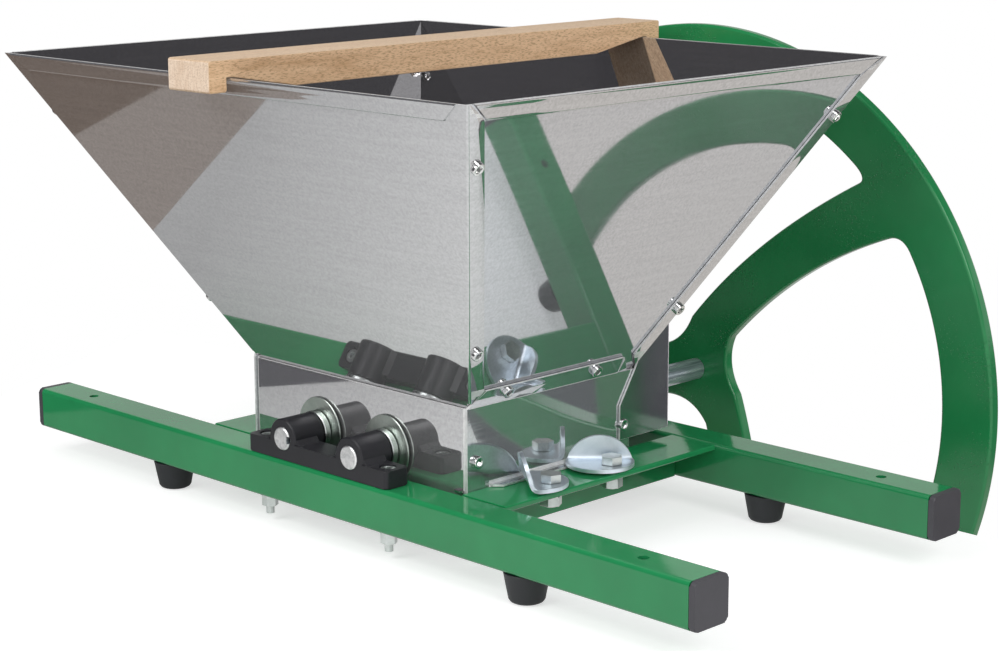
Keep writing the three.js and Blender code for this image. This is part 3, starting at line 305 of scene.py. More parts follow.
def moulded(name, colour, roughness, grain_scale=900, grain_depth=0.04, sheen=0.5):
    n = material_nodes(name)
    n.set(IOR=1.5, Specular_IOR_Level=sheen)
    wear = n.noise(45, 4, 0.6)
    n.link(n.ramp(wear, (0.3, scaled(colour, 0.85)), (0.72, scaled(colour, 1.18))), "Base Color")
    n.link(n.ramp(wear, (0.3, roughness * 0.88), (0.7, roughness * 1.12)), "Roughness")
    n.bump(n.noise(grain_scale, 3, 0.6), grain_depth)
    return n.material


def plated(name, dark, light, roughness, scale=70):
    """Zinc plate or turned steel: mottled tone, a little dull."""
    n = material_nodes(name)
    n.set(Metallic=1.0)
    patch = n.noise(scale, 5, 0.65, distortion=0.4)
    n.link(n.ramp(patch, (0.35, dark), (0.65, light)), "Base Color")
    n.link(n.ramp(patch, (0.3, roughness * 0.8), (0.7, roughness * 1.25)), "Roughness")
    n.bump(n.noise(700, 3, 0.6), 0.02)
    return n.material


def shaft_bar(name):
    """Drawn bar with streaks along its length."""
    n = material_nodes(name)
    n.set(Metallic=0.72)
    streaks = n.noise(1, 4, 0.7, at=n.stretched((380, 16, 380)), distortion=0.6)
    tone = n.ramp(streaks, (0.32, (0.17, 0.22, 0.25)), (0.5, (0.44, 0.51, 0.55)), (0.66, (0.86, 0.92, 0.96)))
    n.link(tone, "Base Color")
    n.link(n.ramp(streaks, (0.3, 0.42), (0.7, 0.22)), "Roughness")
    n.bump(streaks, 0.06)
    return n.material


def cast_iron(name, dark, light, roughness):
    n = material_nodes(name)
    n.set(Metallic=1.0)
    patch = n.noise(90, 5, 0.65)
    n.link(n.ramp(patch, (0.3, dark), (0.7, light)), "Base Color")
    n.link(n.ramp(patch, (0.3, roughness * 1.2), (0.7, roughness * 0.8)), "Roughness")
    n.bump(n.noise(420, 4, 0.6), 0.08)
    return n.material


def beech(name, light, deep, pore, pore_size):
    """Beech: growth rings as slanting sheets, short dark pores along the grain, rays across it."""
    n = material_nodes(name)
    n.set(IOR=1.45)
    ring_turn = (0, math.radians(-32), 0)
    ray_turn = (0, math.radians(-28), 0)
    wander = n.noise(1, 2, 0.5, at=n.stretched((26, 2.2, 26)))
    sheets = n.noise(1, 4, 0.65, at=n.stretched((560, 7, 110), ring_turn), distortion=0.25)
    pores = n.noise(1, 2, 0.6, at=n.stretched(pore_size))
    rays = n.noise(1, 2, 0.5, at=n.stretched((60, 90, 700), ray_turn))
    tone = n.ramp(n.math("ADD", n.math("MULTIPLY", sheets, 0.7), n.math("MULTIPLY", wander, 0.3)),
                  (0.36, deep), (0.56, light))
    tone = n.mix(n.ramp(pores, (0.50, 0.0), (0.64, 0.62)), tone, pore)
    tone = n.mix(n.ramp(rays, (0.60, 0.0), (0.70, 0.5)), tone, deep)
    n.link(tone, "Base Color")
    n.link(n.ramp(sheets, (0.3, 0.48), (0.7, 0.62)), "Roughness")
    n.bump(pores, 0.06)
    return n.material


LEVEL_STREAKS = (12, 12, 420)
UPRIGHT_STREAKS = (420, 12, 12)
SHEET_STEEL = steel_sheet("steel_sheet", (0.665, 0.665, 0.675), LEVEL_STREAKS, 0.84)
SIDE_STEEL = steel_sheet("steel_side_panel", (0.655, 0.665, 0.695), LEVEL_STREAKS, 0.79, 1.0, 0.085)
WALL_STEEL = steel_sheet("steel_side_wall", (0.64, 0.665, 0.675), LEVEL_STREAKS, 0.84, 1.6, -0.058, 3.0)
# Darker, more mirroring steel for the faces inside the hopper: painted shade.
SHADED_INSIDE_STEEL = steel_sheet("steel_inside_painted_shade", (0.62, 0.615, 0.625), LEVEL_STREAKS, 0.97)
COVER_STEEL = steel_sheet("steel_cover", (0.56, 0.54, 0.58), UPRIGHT_STREAKS, 0.97, 5.0)
# Bright edge steel: a painted highlight for the sheets' cut edges, the side hems' rims and fine light lines.
EDGE_HIGHLIGHT_STEEL = cut_edge_highlight("sheet_edge_painted_highlight")
PAINT = green_paint("frame_paint", (0.018, 0.275, 0.092), 0.09, 260)
WHEEL_PAINT = green_paint("wheel_paint", (0.015, 0.240, 0.073), 0.22, 420, 0.3)
BLOCK_PLASTIC = moulded("block_plastic", (0.017, 0.017, 0.021), 0.38, 700, 0.03, 0.36)
CAP_PLASTIC = moulded("cap_plastic", (0.062, 0.060, 0.070), 0.5, 600, 0.07)
RUBBER = moulded("foot_rubber", (0.020, 0.022, 0.025), 0.6)
GRIP_PLASTIC = moulded("grip_plastic", (0.020, 0.020, 0.022), 0.35)
ZINC = plated("zinc_plate", (0.50, 0.54, 0.52), (0.74, 0.77, 0.76), 0.30)
WASHER_ZINC = plated("washer_zinc", (0.42, 0.49, 0.44), (0.66, 0.71, 0.66), 0.34, 40)
CLAMP_ZINC = plated("clamp_zinc", (0.64, 0.72, 0.79), (0.84, 0.91, 0.97), 0.36, 30)
BRIGHT = plated("bright_screws", (0.60, 0.60, 0.60), (0.86, 0.86, 0.85), 0.16, 120)
SHAFT_STEEL = shaft_bar("shaft_bar")
END_STEEL = plated("shaft_end", (0.62, 0.63, 0.63), (0.92, 0.92, 0.92), 0.4, 260)
ROLLER_IRON = cast_iron("roller_iron", (0.24, 0.24, 0.25), (0.42, 0.42, 0.43), 0.38)
GEAR_IRON = cast_iron("gear_iron", (0.30, 0.29, 0.28), (0.46, 0.45, 0.44), 0.34)
WOOD = beech("beech_wood", (0.76, 0.56, 0.38), (0.64, 0.44, 0.28), (0.48, 0.31, 0.18), (1300, 260, 1300))
# The end and side copies of the beech carry painted light and shade: their tones are set for how the light falls
# on those faces.
END_WOOD_PAINTED_LIGHT = beech("beech_end_painted_light", (0.92, 0.74, 0.58), (0.78, 0.58, 0.42), (0.62, 0.45, 0.32), (700, 40, 1100))
SIDE_WOOD_PAINTED_LIGHT = beech("beech_side_painted_light", (0.90, 0.61, 0.37), (0.66, 0.40, 0.21), (0.40, 0.22, 0.10), (1500, 300, 1500))

# Pieces


def shade(bm, limit):
    """Smooth faces, with an edge kept sharp where its faces turn by more than the limit."""
    for face in bm.faces:
        face.smooth = True
    for edge in bm.edges:
        if len(edge.link_faces) == 2:
            edge.smooth = edge.calc_face_angle(0.0) < math.radians(limit)


def finish(name, bm, material, body, replaced=(), limit=28):
    """Makes the bmesh a piece that rides on the body, in the place of the replaced nodes."""
    bmesh.ops.recalc_face_normals(bm, faces=bm.faces[:])
    shade(bm, limit)
    mesh = bpy.data.meshes.new(name)
    bm.to_mesh(mesh)
    bm.free()
    mesh.materials.append(material)
    piece = bpy.data.objects.new(name, mesh)
    bpy.context.scene.collection.objects.link(piece)
    flatten = piece.modifiers.new("flat_faces", "WEIGHTED_NORMAL")
    flatten.mode = "FACE_AREA"
    flatten.weight = 100
    flatten.keep_sharp = True
    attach(piece, body)
    if replaced:
        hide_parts(*replaced)
    return piece


def bevel(bm, edges, width, segments, **options):
    bmesh.ops.bevel(bm, geom=edges, offset=mm(width), offset_type="OFFSET", segments=segments, profile=0.5,
                    affect="EDGES", clamp_overlap=True, **options)


def node_bmesh(node):
    """A welded copy of a CAD node's mesh, its flat faces joined."""
    bm = bmesh.new()
    bm.from_mesh(NODES[node].data)
    bmesh.ops.remove_doubles(bm, verts=bm.verts[:], dist=mm(0.004))
    bmesh.ops.dissolve_limit(bm, angle_limit=math.radians(0.6), verts=bm.verts[:], edges=bm.edges[:])
    return bm


def dress(node, material, width, segments=2):
    """The node's own form with its edges broken."""
    bm = node_bmesh(node)
    edges = [e for e in bm.edges if len(e.link_faces) == 2 and e.calc_face_angle(0.0) > math.radians(30)]
    bevel(bm, edges, width, segments, loop_slide=True)
    return finish(node + "_skin", bm, material, NODES[node]["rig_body"], [node])


def give(piece, material, chosen):
    """Gives the material to the faces that the test chooses."""
    piece.data.materials.append(material)
    index = len(piece.data.materials) - 1
    for polygon in piece.data.polygons:
        if chosen(polygon):
            polygon.material_index = index


def brighten_edges(piece, least=0.0, most=1.8):
    """Gives the sheet's cut edges, which are its narrow faces, the bright edge steel: a painted highlight along
    each edge.
    """
    def narrow(polygon):
        corners = [piece.data.vertices[i].co for i in polygon.vertices]
        around = sum((a - b).length for a, b in zip(corners, corners[1:] + corners[:1]))
        return mm(least) < 2 * polygon.area / around < mm(most) / 1.05

    give(piece, EDGE_HIGHLIGHT_STEEL, narrow)


def shade_inside(piece):
    """Gives the faces that look into the hopper a darker steel that mirrors most: painted shade inside the hopper.
    """
    def looks_in(polygon):
        inward = Vector((-polygon.center.x, -polygon.center.y, 0))
        return polygon.area > mm(20) * mm(20) and polygon.normal.dot(inward) > 0

    give(piece, SHADED_INSIDE_STEEL, looks_in)


def skin(bm, rings):
    """Joins rings of as many points each, one after another, and closes both ends."""
    caps = [bm.faces.new(rings[0]), bm.faces.new(rings[-1])]
    for low, high in zip(rings, rings[1:]):
        for i in range(len(low)):
            j = (i + 1) % len(low)
            bm.faces.new([low[i], low[j], high[j], high[i]])
    return caps


def lathe_into(bm, profile, place, axis, steps=64):
    """Turns [radius, distance] pairs, a closed outline or one that starts and ends on the axis."""
    place = Vector(place)
    side = axis.orthogonal().normalized()
    other = axis.cross(side)
    rings = []
    for radius, along in profile:
        centre = mm(1) * (place + axis * along)
        if radius < 1e-6:
            rings.append([bm.verts.new(centre)])
            continue
        ring = []
        for i in range(steps):
            angle = 2 * math.pi * i / steps
            spoke = side * math.cos(angle) + other * math.sin(angle)
            ring.append(bm.verts.new(centre + mm(radius) * spoke))
        rings.append(ring)
    pairs = list(zip(rings, rings[1:]))
    if len(rings[0]) > 1:
        pairs.append((rings[-1], rings[0]))
    for low, high in pairs:
        for i in range(steps):
            j = (i + 1) % steps
            corners = [low[i % len(low)], low[j % len(low)], high[j % len(high)], high[i % len(high)]]
            unique = list(dict.fromkeys(corners))
            if len(unique) > 2:
                bm.faces.new(unique)


def rounded_polygon(corners, steps=6):
    """Corners (x, y, radius) as points, each corner rounded by its radius."""
    points = []
    count = len(corners)
    for i, (x, y, radius) in enumerate(corners):
        here = Vector((x, y))
        if not radius:
            points.append(here)
            continue
        back = (Vector(corners[i - 1][:2]) - here).normalized()
        on = (Vector(corners[(i + 1) % count][:2]) - here).normalized()
        half = back.angle(on) / 2
        centre = here + (back + on).normalized() * radius / math.sin(half)
        start = here + back * radius / math.tan(half) - centre
        end = here + on * radius / math.tan(half) - centre
        turn = start.angle_signed(end)
        for k in range(steps + 1):
            spin = Matrix.Rotation(-turn * k / steps, 2)
            points.append(centre + spin @ start)
    return points


def rectangle(x0, y0, x1, y1, radius, steps=6):
    return rounded_polygon([(x0, y0, radius), (x1, y0, radius), (x1, y1, radius), (x0, y1, radius)], steps)


def prism(points, axes, low, high, width=0.0, segments=3):
    """Extrudes an outline. axes are the outline's two directions and the direction it is pushed in."""
    bm = bmesh.new()
    prism_into(bm, points, axes, low, high, width, segments)
    return bm


def prism_into(bm, points, axes, low, high, width=0.0, segments=3):
    a, b, along = axes
    rings = [[bm.verts.new(mm(1) * (a * p[0] + b * p[1] + along * level)) for p in points]
             for level in (low, high)]
    caps = skin(bm, rings)
    if width:
        bevel(bm, [e for cap in caps for e in cap.edges], width, segments)


def tool(bm):
    """An object that only cuts or joins others. It is removed after use."""
    bmesh.ops.recalc_face_normals(bm, faces=bm.faces[:])
    mesh = bpy.data.meshes.new("tool")
    bm.to_mesh(mesh)
    bm.free()
    piece = bpy.data.objects.new("tool", mesh)
    bpy.context.scene.collection.objects.link(piece)
    return piece


def combine(bm, others):
    """The bmesh joined with or cut by the others, a list of (operation, bmesh)."""
    base = tool(bm)
    tools = []
    for operation, other in others:
        cutter = tool(other)
        tools.append(cutter)
        modifier = base.modifiers.new("combine", "BOOLEAN")
        modifier.operation = operation
        modifier.solver = "EXACT"
        modifier.object = cutter
    graph = bpy.context.evaluated_depsgraph_get()
    result = bmesh.new()
    result.from_mesh(base.evaluated_get(graph).to_mesh())
    for piece in [base, *tools]:
        data = piece.data
        bpy.data.objects.remove(piece)
        bpy.data.meshes.remove(data)
    return result


def drum(radius, place, axis, low, high, steps=64, edge=0.0):
    bm = bmesh.new()
    profile = [(0, low), (radius, low), (radius, high), (0, high)]
    if edge:
        profile[1:3] = [(radius - edge, low), (radius, low + edge), (radius, high - edge), (radius - edge, high)]
    lathe_into(bm, profile, place, axis, steps)
    return bm


def ring_piece(name, node, radius, bore, place, low, high, edge, material, body, axis=Y):
    bm = bmesh.new()
    profile = [(bore, low + edge / 2), (bore + edge / 2, low), (radius - edge, low), (radius, low + edge),
               (radius, high - edge), (radius - edge, high), (bore + edge / 2, high), (bore, high - edge / 2)]
    lathe_into(bm, profile, place, axis, 96)
    return finish(name, bm, material, body, [node])


# Frame
FOOT_PROFILE = [(0, 0), (8, 0), (9.2, 0.1), (10.6, 0.8), (11.6, 2.2), (12.0, 4.2), (13.6, 12.5), (14.7, 18.6),
                (15.0, 19.3), (14.7, 19.7), (4, 19.7), (4, 22.3), (5.2, 22.3), (3, 26.3), (0, 26.3)]


def tube_section(middle, inset=0.0, corner=1):
    """The rail's square section, or one that lies inside it by the inset."""
    half = TUBE / 2 - inset
    return rectangle(middle - half, FOOT_HEIGHT + inset, middle + half, RAIL_TOP - inset, corner)


for rail, side in (("near", -1), ("far", 1)):
    centre_y = side * RAIL_Y
    bm = prism(tube_section(centre_y, 0, TUBE_CORNER), (Y, Z, X), -RAIL_LENGTH / 2, RAIL_LENGTH / 2)
    hollow = prism(tube_section(centre_y, TUBE_WALL), (Y, Z, X), -RAIL_LENGTH / 2 - 5, RAIL_LENGTH / 2 + 5)
    cuts = [("DIFFERENCE", hollow)]
    for _, end in ENDS:
        hole = drum(FREE_HOLE / 2, (end * FREE_HOLE_X, centre_y, 0), Z, RAIL_TOP - 15, RAIL_TOP + 5, 40)
        cuts.append(("DIFFERENCE", hole))
    finish(f"{rail}_rail_tube", combine(bm, cuts), PAINT, "frame", [f"{rail}_rail"])
    for flank, end in ENDS:
        start = RAIL_LENGTH / 2 + SEAT
        bm = prism(tube_section(centre_y, 0, TUBE_CORNER), (Y, Z, X * end), start, start + CAP_THICKNESS, 1.1, 4)
        plug = prism(tube_section(centre_y, TUBE_WALL + SEAT), (Y, Z, X * end), start - CAP_PLUG, start + 1)
        finish(f"{rail}_{flank}_cap_moulding", combine(bm, [("UNION", plug)]), CAP_PLASTIC, "frame",
               [f"{rail}_{flank}_end_cap"])
        bm = bmesh.new()
        lathe_into(bm, FOOT_PROFILE, (FOOT_SHIFT + end * FOOT_PITCH / 2, centre_y, 0), Z)
        finish(f"{rail}_{flank}_foot_moulding", bm, RUBBER, "frame", [f"{rail}_{flank}_foot"])

for flank, _ in ENDS:
    dress(f"{flank}_cross_angle", PAINT, 0.5, 3)

# Bearing blocks, each with a web that widens the boss's foot
WEB_FOOT_HALF = 17.5
WEB_TOP_HALF = 12.2
WEB_HEIGHT = 5
for rail, side in (("near", -1), ("far", 1)):
    y_front = side * BLOCK_FRONT
    y_low, y_high = sorted((y_front, side * (BLOCK_FRONT - BLOCK_DEPTH)))
    boss_low, boss_high = sorted((y_front, side * (BLOCK_FRONT - BOSS_LENGTH)))
    half = BLOCK_LENGTH / 2
    bm = prism(rectangle(PAIR_X - half, y_low, PAIR_X + half, y_high, BLOCK_CORNER), (X, Y, Z),
               BLOCK_BOTTOM, BLOCK_TOP, 0.8)
    steps = []
    for x in (DRIVE_X, DRIVEN_X):
        steps.append(("UNION", drum(BOSS_RADIUS, (x, 0, SHAFT_Z), Y, boss_low, boss_high, 72, 0.9)))
        foot = rounded_polygon([(x - WEB_FOOT_HALF, BLOCK_TOP - 1, 0), (x + WEB_FOOT_HALF, BLOCK_TOP - 1, 0),
                                (x + WEB_TOP_HALF, BLOCK_TOP + WEB_HEIGHT, 1.5),
                                (x - WEB_TOP_HALF, BLOCK_TOP + WEB_HEIGHT, 1.5)], 5)
        steps.append(("UNION", prism(foot, (X, Z, Y), y_low + 0.8, y_high - 0.8, 0.6)))
    for x in (DRIVE_X, DRIVEN_X):
        bore = drum(SHAFT_RADIUS + RUN, (x, 0, SHAFT_Z), Y, boss_low - 2, boss_high + 2)
        steps.append(("DIFFERENCE", bore))
    for _, end in ENDS:
        bolt = (PAIR_X + end * (half - EAR_INSET), side * (BLOCK_FRONT - BLOCK_DEPTH / 2), 0)
        steps.append(("DIFFERENCE", drum(BOLT_HOLE_RADIUS, bolt, Z, BLOCK_BOTTOM - 1, BLOCK_TOP + 1, 32)))
        recess = drum(EAR_RECESS_RADIUS, bolt, Z, BLOCK_TOP - EAR_RECESS_DEPTH, BLOCK_TOP + 1, 48)
        steps.append(("DIFFERENCE", recess))
    finish(f"{rail}_block_moulding", combine(bm, steps), BLOCK_PLASTIC, "frame",
           [f"{rail}_bearing_block"])
    for flank, _ in ENDS:
        dress(f"{rail}_{flank}_block_bolt", ZINC, 0.3)
        dress(f"{rail}_{flank}_block_nut", ZINC, 0.3)

# Shafts, collars and washers. The washers hang a little askew.
WASHER_HALF = 0.6
WASHER_LEAN = Matrix.Rotation(math.radians(-2.4), 3, "Z")
for shaft, x in (("drive", DRIVE_X), ("driven", DRIVEN_X)):
    place = (x, 0, SHAFT_Z)
    low = -BLOCK_FRONT - SHAFT_PROUD
    if shaft == "drive":
        shoulder = WHEEL_FRONT - SEAT
        end = WHEEL_BACK - SEAT
        thread_end = end - HUB_SCREW_LENGTH - 2
        bm = bmesh.new()
        lathe_into(bm, [(0, low), (SHAFT_RADIUS - SHAFT_CHAMFER, low), (SHAFT_RADIUS, low + SHAFT_CHAMFER),
                        (SHAFT_RADIUS, shoulder), (HUB_SPIGOT / 2, shoulder), (HUB_SPIGOT / 2, end),
                        (HUB_THREAD_RADIUS, end), (HUB_THREAD_RADIUS, thread_end), (0, thread_end)],
                   place, Y, 72)
    else:
        keyway = rectangle(x + SHAFT_RADIUS - KEYWAY_DEPTH, SHAFT_Z - KEYWAY_WIDTH / 2, x + 12,
                           SHAFT_Z + KEYWAY_WIDTH / 2, 0.4, 2)
        bm = combine(drum(SHAFT_RADIUS, place, Y, low, -low, 72, SHAFT_CHAMFER),
                     [("DIFFERENCE", prism(keyway, (X, Z, Y), low - 1, low + BOSS_LENGTH))])
    bar = finish(f"{shaft}_shaft_bar", bm, SHAFT_STEEL, shaft, [f"{shaft}_shaft"])
    give(bar, END_STEEL, lambda p, reach=mm(low + 1.5): abs(p.normal.y) > 0.6 and p.center.y < reach)
    near = -BLOCK_FRONT + BOSS_LENGTH + SEAT
    far = -near
    bore = SHAFT_RADIUS + RUN
    ring_piece(f"{shaft}_near_collar_ring", f"{shaft}_near_collar", COLLAR_RADIUS, bore, place,
               near, near + COLLAR_LENGTH, 0.5, ZINC, shaft)
    ring_piece(f"{shaft}_near_washer_disc", f"{shaft}_near_washer", WASHER_RADIUS, bore + 0.3,
               (x, near + COLLAR_LENGTH + 1.7, SHAFT_Z), -WASHER_HALF, WASHER_HALF, 0.3, WASHER_ZINC, shaft,
               WASHER_LEAN @ Y)
    ring_piece(f"{shaft}_far_collar_ring", f"{shaft}_far_collar", COLLAR_RADIUS, bore, place,
               far - COLLAR_LENGTH, far, 0.5, ZINC, shaft)
    dress(f"{shaft}_roller", ROLLER_IRON, 0.3)
    dress(f"{shaft}_gear", GEAR_IRON, 0.2)

# Sheet metal of the box and the gear cover
for panel, steel in (("front", SHEET_STEEL), ("back", SHEET_STEEL), ("left", WALL_STEEL), ("right", WALL_STEEL)):
    wall = dress(f"box_{panel}_wall", steel, 0.25)
    brighten_edges(wall)
    give(wall, SIDE_STEEL, lambda p: abs(p.normal.x) > 0.5 and p.normal.z < -0.3)
brighten_edges(dress("gear_cover", COVER_STEEL, 0.25))

# Hopper: four leaning panels. Lines at a height z, at a distance off the panels' outer faces.
RISE = RIM_HEIGHT - BOX_TOP
LEAN_X = math.hypot(1, (RIM_WIDTH / 2 - BOX_HALF) / RISE)
LEAN_Y = math.hypot(1, RIM_OVERHANG / RISE)
THROAT_HALF = BOX_HALF - (SHEET + SEAT) * LEAN_X
THROAT_FRONT = BOX_FRONT + SHEET + SEAT
THROAT_BACK = THROAT_FRONT + THROAT_LENGTH
RIM_FRONT = THROAT_FRONT - RIM_OVERHANG
SPREAD_X = (RIM_WIDTH / 2 - SHEET * LEAN_X - THROAT_HALF) / RISE
SPREAD_FRONT = (RIM_OVERHANG - SHEET * LEAN_Y) / RISE
SPREAD_BACK = (RIM_FRONT + RIM_LENGTH - SHEET * LEAN_Y - THROAT_BACK) / RISE
HEM_BOTTOM = RIM_HEIGHT - HEM / LEAN_Y
BEND = 1.6
CROWN = 0.3
PLATE_TOP = RIM_HEIGHT - 0.3
FLANGE_START = BOX_TOP + 4
FLANGE_FULL = LAP_TOP + 2


def half_at(z, off=0.0):
    return THROAT_HALF + (z - BOX_TOP) * SPREAD_X + off * LEAN_X


def front_at(z, off=0.0):
    return THROAT_FRONT - (z - BOX_TOP) * SPREAD_FRONT - off * LEAN_Y


def back_at(z, off=0.0):
    return THROAT_BACK + (z - BOX_TOP) * SPREAD_BACK + off * LEAN_Y


def hem_inset(z):
    return HEM_END + HEM_SLANT * (RIM_HEIGHT - z) / (RIM_HEIGHT - HEM_BOTTOM)


def loft_into(bm, section, levels):
    """Joins the section's outlines at the levels, each with the same number of points."""
    skin(bm, [[bm.verts.new(mm(p[0], p[1], z)) for p in section(z)] for z in levels])


def between(low, high, count):
    """So many even levels, from the low one to the last before the high one."""
    return [low + (high - low) * i / count for i in range(count)]


def flange_length(z):
    """The corner flange is cut on a slant at both ends, clear of the box's lap and of the hem's end."""
    lap = BOX_FRONT - 0.8 + (z - BOX_TOP) * LAP_CHAMFER / (LAP_TOP - BOX_TOP) - front_at(z)
    top = BEND + 0.4 + (RIM_HEIGHT - z) * CORNER_FLANGE / (RIM_HEIGHT - HEM_BOTTOM)
    return max(BEND + 0.3, min(CORNER_FLANGE, lap, top))


def end_panel(across, inward):
    """The front or back panel: a shallow channel whose flanges wrap the side panels."""
    def web(z):
        half = half_at(z)
        return [(-half, across(z)), (half, across(z)), (half, across(z, -SHEET)), (-half, across(z, -SHEET))]

    def channel(z):
        outer = half_at(z, SEAT + SHEET)
        inner = half_at(z, SEAT)
        tip = across(z) + inward * flange_length(z)
        middle = across(z) + inward * (BEND + 0.1 + (flange_length(z) - BEND) / 2)
        bulge = CROWN * min(1, (flange_length(z) - BEND) / 6)
        right = [(outer, across(z), BEND), (outer + bulge, middle, 0), (outer, tip, 0), (inner, tip, 0),
                 (inner, across(z, -SHEET), BEND - SHEET)]
        left = [(-x, y, radius) for x, y, radius in reversed(right)]
        corners = right + left
        return rounded_polygon(corners if inward > 0 else corners[::-1], 5)

    bm = bmesh.new()
    loft_into(bm, web, [BOX_TOP, FLANGE_START])
    levels = between(FLANGE_START, FLANGE_FULL, 6) + between(FLANGE_FULL, HEM_BOTTOM, 12)
    loft_into(bm, channel, levels + between(HEM_BOTTOM, PLATE_TOP, 4) + [PLATE_TOP])
    return bm


# The hem is the sheet folded back on itself: depth below the rim, and how far it stands off the panel
HEM_FORM = ((0.02, 0.25), (0.12, 0.6), (0.35, 0.96), (0.8, 1.33), (1.5, 1.5), (2.4, 1.42), (3.6, 1.26),
            (5.0, 1.34), (6.2, 1.44), (7.4, 1.46), (8.8, 1.56), (10.4, 1.64), (11.8, 1.68), (12.5, 1.56),
            (12.85, 1.25), (13.0, 0.7))


def hem_strip(name, section):
    """section(z, off) gives the strip's outline at a height for one distance off the panel."""
    bm = bmesh.new()
    depths = {RIM_HEIGHT - depth / LEAN_Y: off for depth, off in HEM_FORM}
    loft_into(bm, lambda z: section(z, depths[z]), sorted(depths))
    return finish(name, bm, SHEET_STEEL, "frame", (), 50)


def hem_inner(off, z):
    """The fold's inner face, round at the rim and inside the panel's sheet below it."""
    return -SHEET / 2 if RIM_HEIGHT - z > 2 else -off


for panel, across, inward in (("front", front_at, 1), ("back", back_at, -1)):
    bm = end_panel(across, inward)
    if panel == "front":
        skirt = BOX_HALF - SHEET - 2 * SHEET - 2 * SEAT
        prism_into(bm, [(-skirt, THROAT_FRONT), (skirt, THROAT_FRONT), (skirt, THROAT_FRONT + SHEET),
                        (-skirt, THROAT_FRONT + SHEET)], (X, Y, Z), BOX_TOP - SKIRT, BOX_TOP)
    sheet = finish(f"hopper_{panel}_sheet", bm, SHEET_STEEL, "frame", [f"hopper_{panel}_panel"], 40)
    brighten_edges(sheet, 1.2)
    shade_inside(sheet)

    def end_hem(z, off, across=across):
        half = half_at(z) - hem_inset(z)
        outside = across(z, off)
        inside = across(z, hem_inner(off, z))
        return [(-half, outside), (half, outside), (half, inside), (-half, inside)]

    hem_strip(f"hopper_{panel}_hem", end_hem)

for panel, side in ENDS:
    def plate(z, side=side):
        front = front_at(z, -SHEET - SEAT)
        back = back_at(z, -SHEET - SEAT)
        outer = side * half_at(z)
        inner = side * half_at(z, -SHEET)
        return [(inner, front), (outer, front), (outer, back), (inner, back)]

    bm = bmesh.new()
    loft_into(bm, plate, [BOX_TOP, PLATE_TOP])
    shade_inside(finish(f"hopper_{panel}_sheet", bm, SIDE_STEEL, "frame",
                         [f"hopper_{panel}_panel"], 40))

    def side_hem(z, off, side=side):
        front = front_at(z) + hem_inset(z)
        back = back_at(z) - hem_inset(z)
        outer = side * half_at(z, off)
        inner = side * half_at(z, hem_inner(off, z))
        return [(inner, front), (outer, front), (outer, back), (inner, back)]

    # The side hems' upward faces take the bright edge steel: a painted highlight along the rim.
    give(hem_strip(f"hopper_{panel}_hem", side_hem), EDGE_HIGHLIGHT_STEEL, lambda p: p.normal.z > 0.45)

# Small socket screws through the sheets, each with its nut inside
SCREW_HEAD = 4.2
SCREW_HEIGHT = 3.0
SCREW_SOCKET = 2.1
SCREW_RINGS = [(2.4, 0, 0), (SCREW_HEAD - 0.3, 0, 0), (SCREW_HEAD, 0.4, 0), (SCREW_HEAD, SCREW_HEIGHT - 0.7, 0),
               (SCREW_HEAD - 0.3, SCREW_HEIGHT - 0.15, 0), (SCREW_HEAD - 0.7, SCREW_HEIGHT, 0),
               (2.7, SCREW_HEIGHT, 0), (SCREW_SOCKET, SCREW_HEIGHT - 0.3, 6), (SCREW_SOCKET, 1.0, 6)]
NUT_RINGS = [(3.3, 0, 6), (3.5, 0.4, 6), (3.5, 2.6, 6), (3.2, 3.0, 0), (2.9, 3.4, 0), (2.2, 4.9, 0), (0.8, 5.6, 0)]


def ring_of(bm, place, axis, radius, along, sided=0, steps=36):
    """One ring round the axis, at a distance along it. sided is 0 for a round one."""
    side = axis.orthogonal().normalized()
    other = axis.cross(side)
    ring = []
    for i in range(steps):
        angle = 2 * math.pi * i / steps
        reach = radius
        if sided:
            sector = 2 * math.pi / sided
            reach = radius / math.cos(angle % sector - sector / 2)
        spoke = side * math.cos(angle) + other * math.sin(angle)
        ring.append(bm.verts.new(mm(1) * (place + axis * along + spoke * reach)))
    return ring


def sheet_screw(name, place, axis):
    """A socket head on the outside, its shank through two sheets and a dome nut inside."""
    depth = 2 * SHEET + SEAT
    place = Vector(place)
    bm = bmesh.new()
    skin(bm, [ring_of(bm, place, axis, *ring) for ring in [(2.4, -depth, 0), *SCREW_RINGS]])
    skin(bm, [ring_of(bm, place, axis, radius, -depth - along, sided) for radius, along, sided in NUT_RINGS])
    return finish(name, bm, BRIGHT, "frame", (), 34)


def highlight_bead(name, points, radius):
    """A fine round line of light steel along the points, thinner at its ends: a painted highlight line."""
    points = [Vector(p) for p in points]
    bm = bmesh.new()
    rings = []
    for i, point in enumerate(points):
        along = (points[min(i + 1, len(points) - 1)] - points[max(i - 1, 0)]).normalized()
        end = 0.55 if i in (0, len(points) - 1) else 1
        rings.append(ring_of(bm, point, along, radius * end, 0, 0, 10))
    skin(bm, rings)
    return finish(name, bm, EDGE_HIGHLIGHT_STEEL, "frame", (), 60)


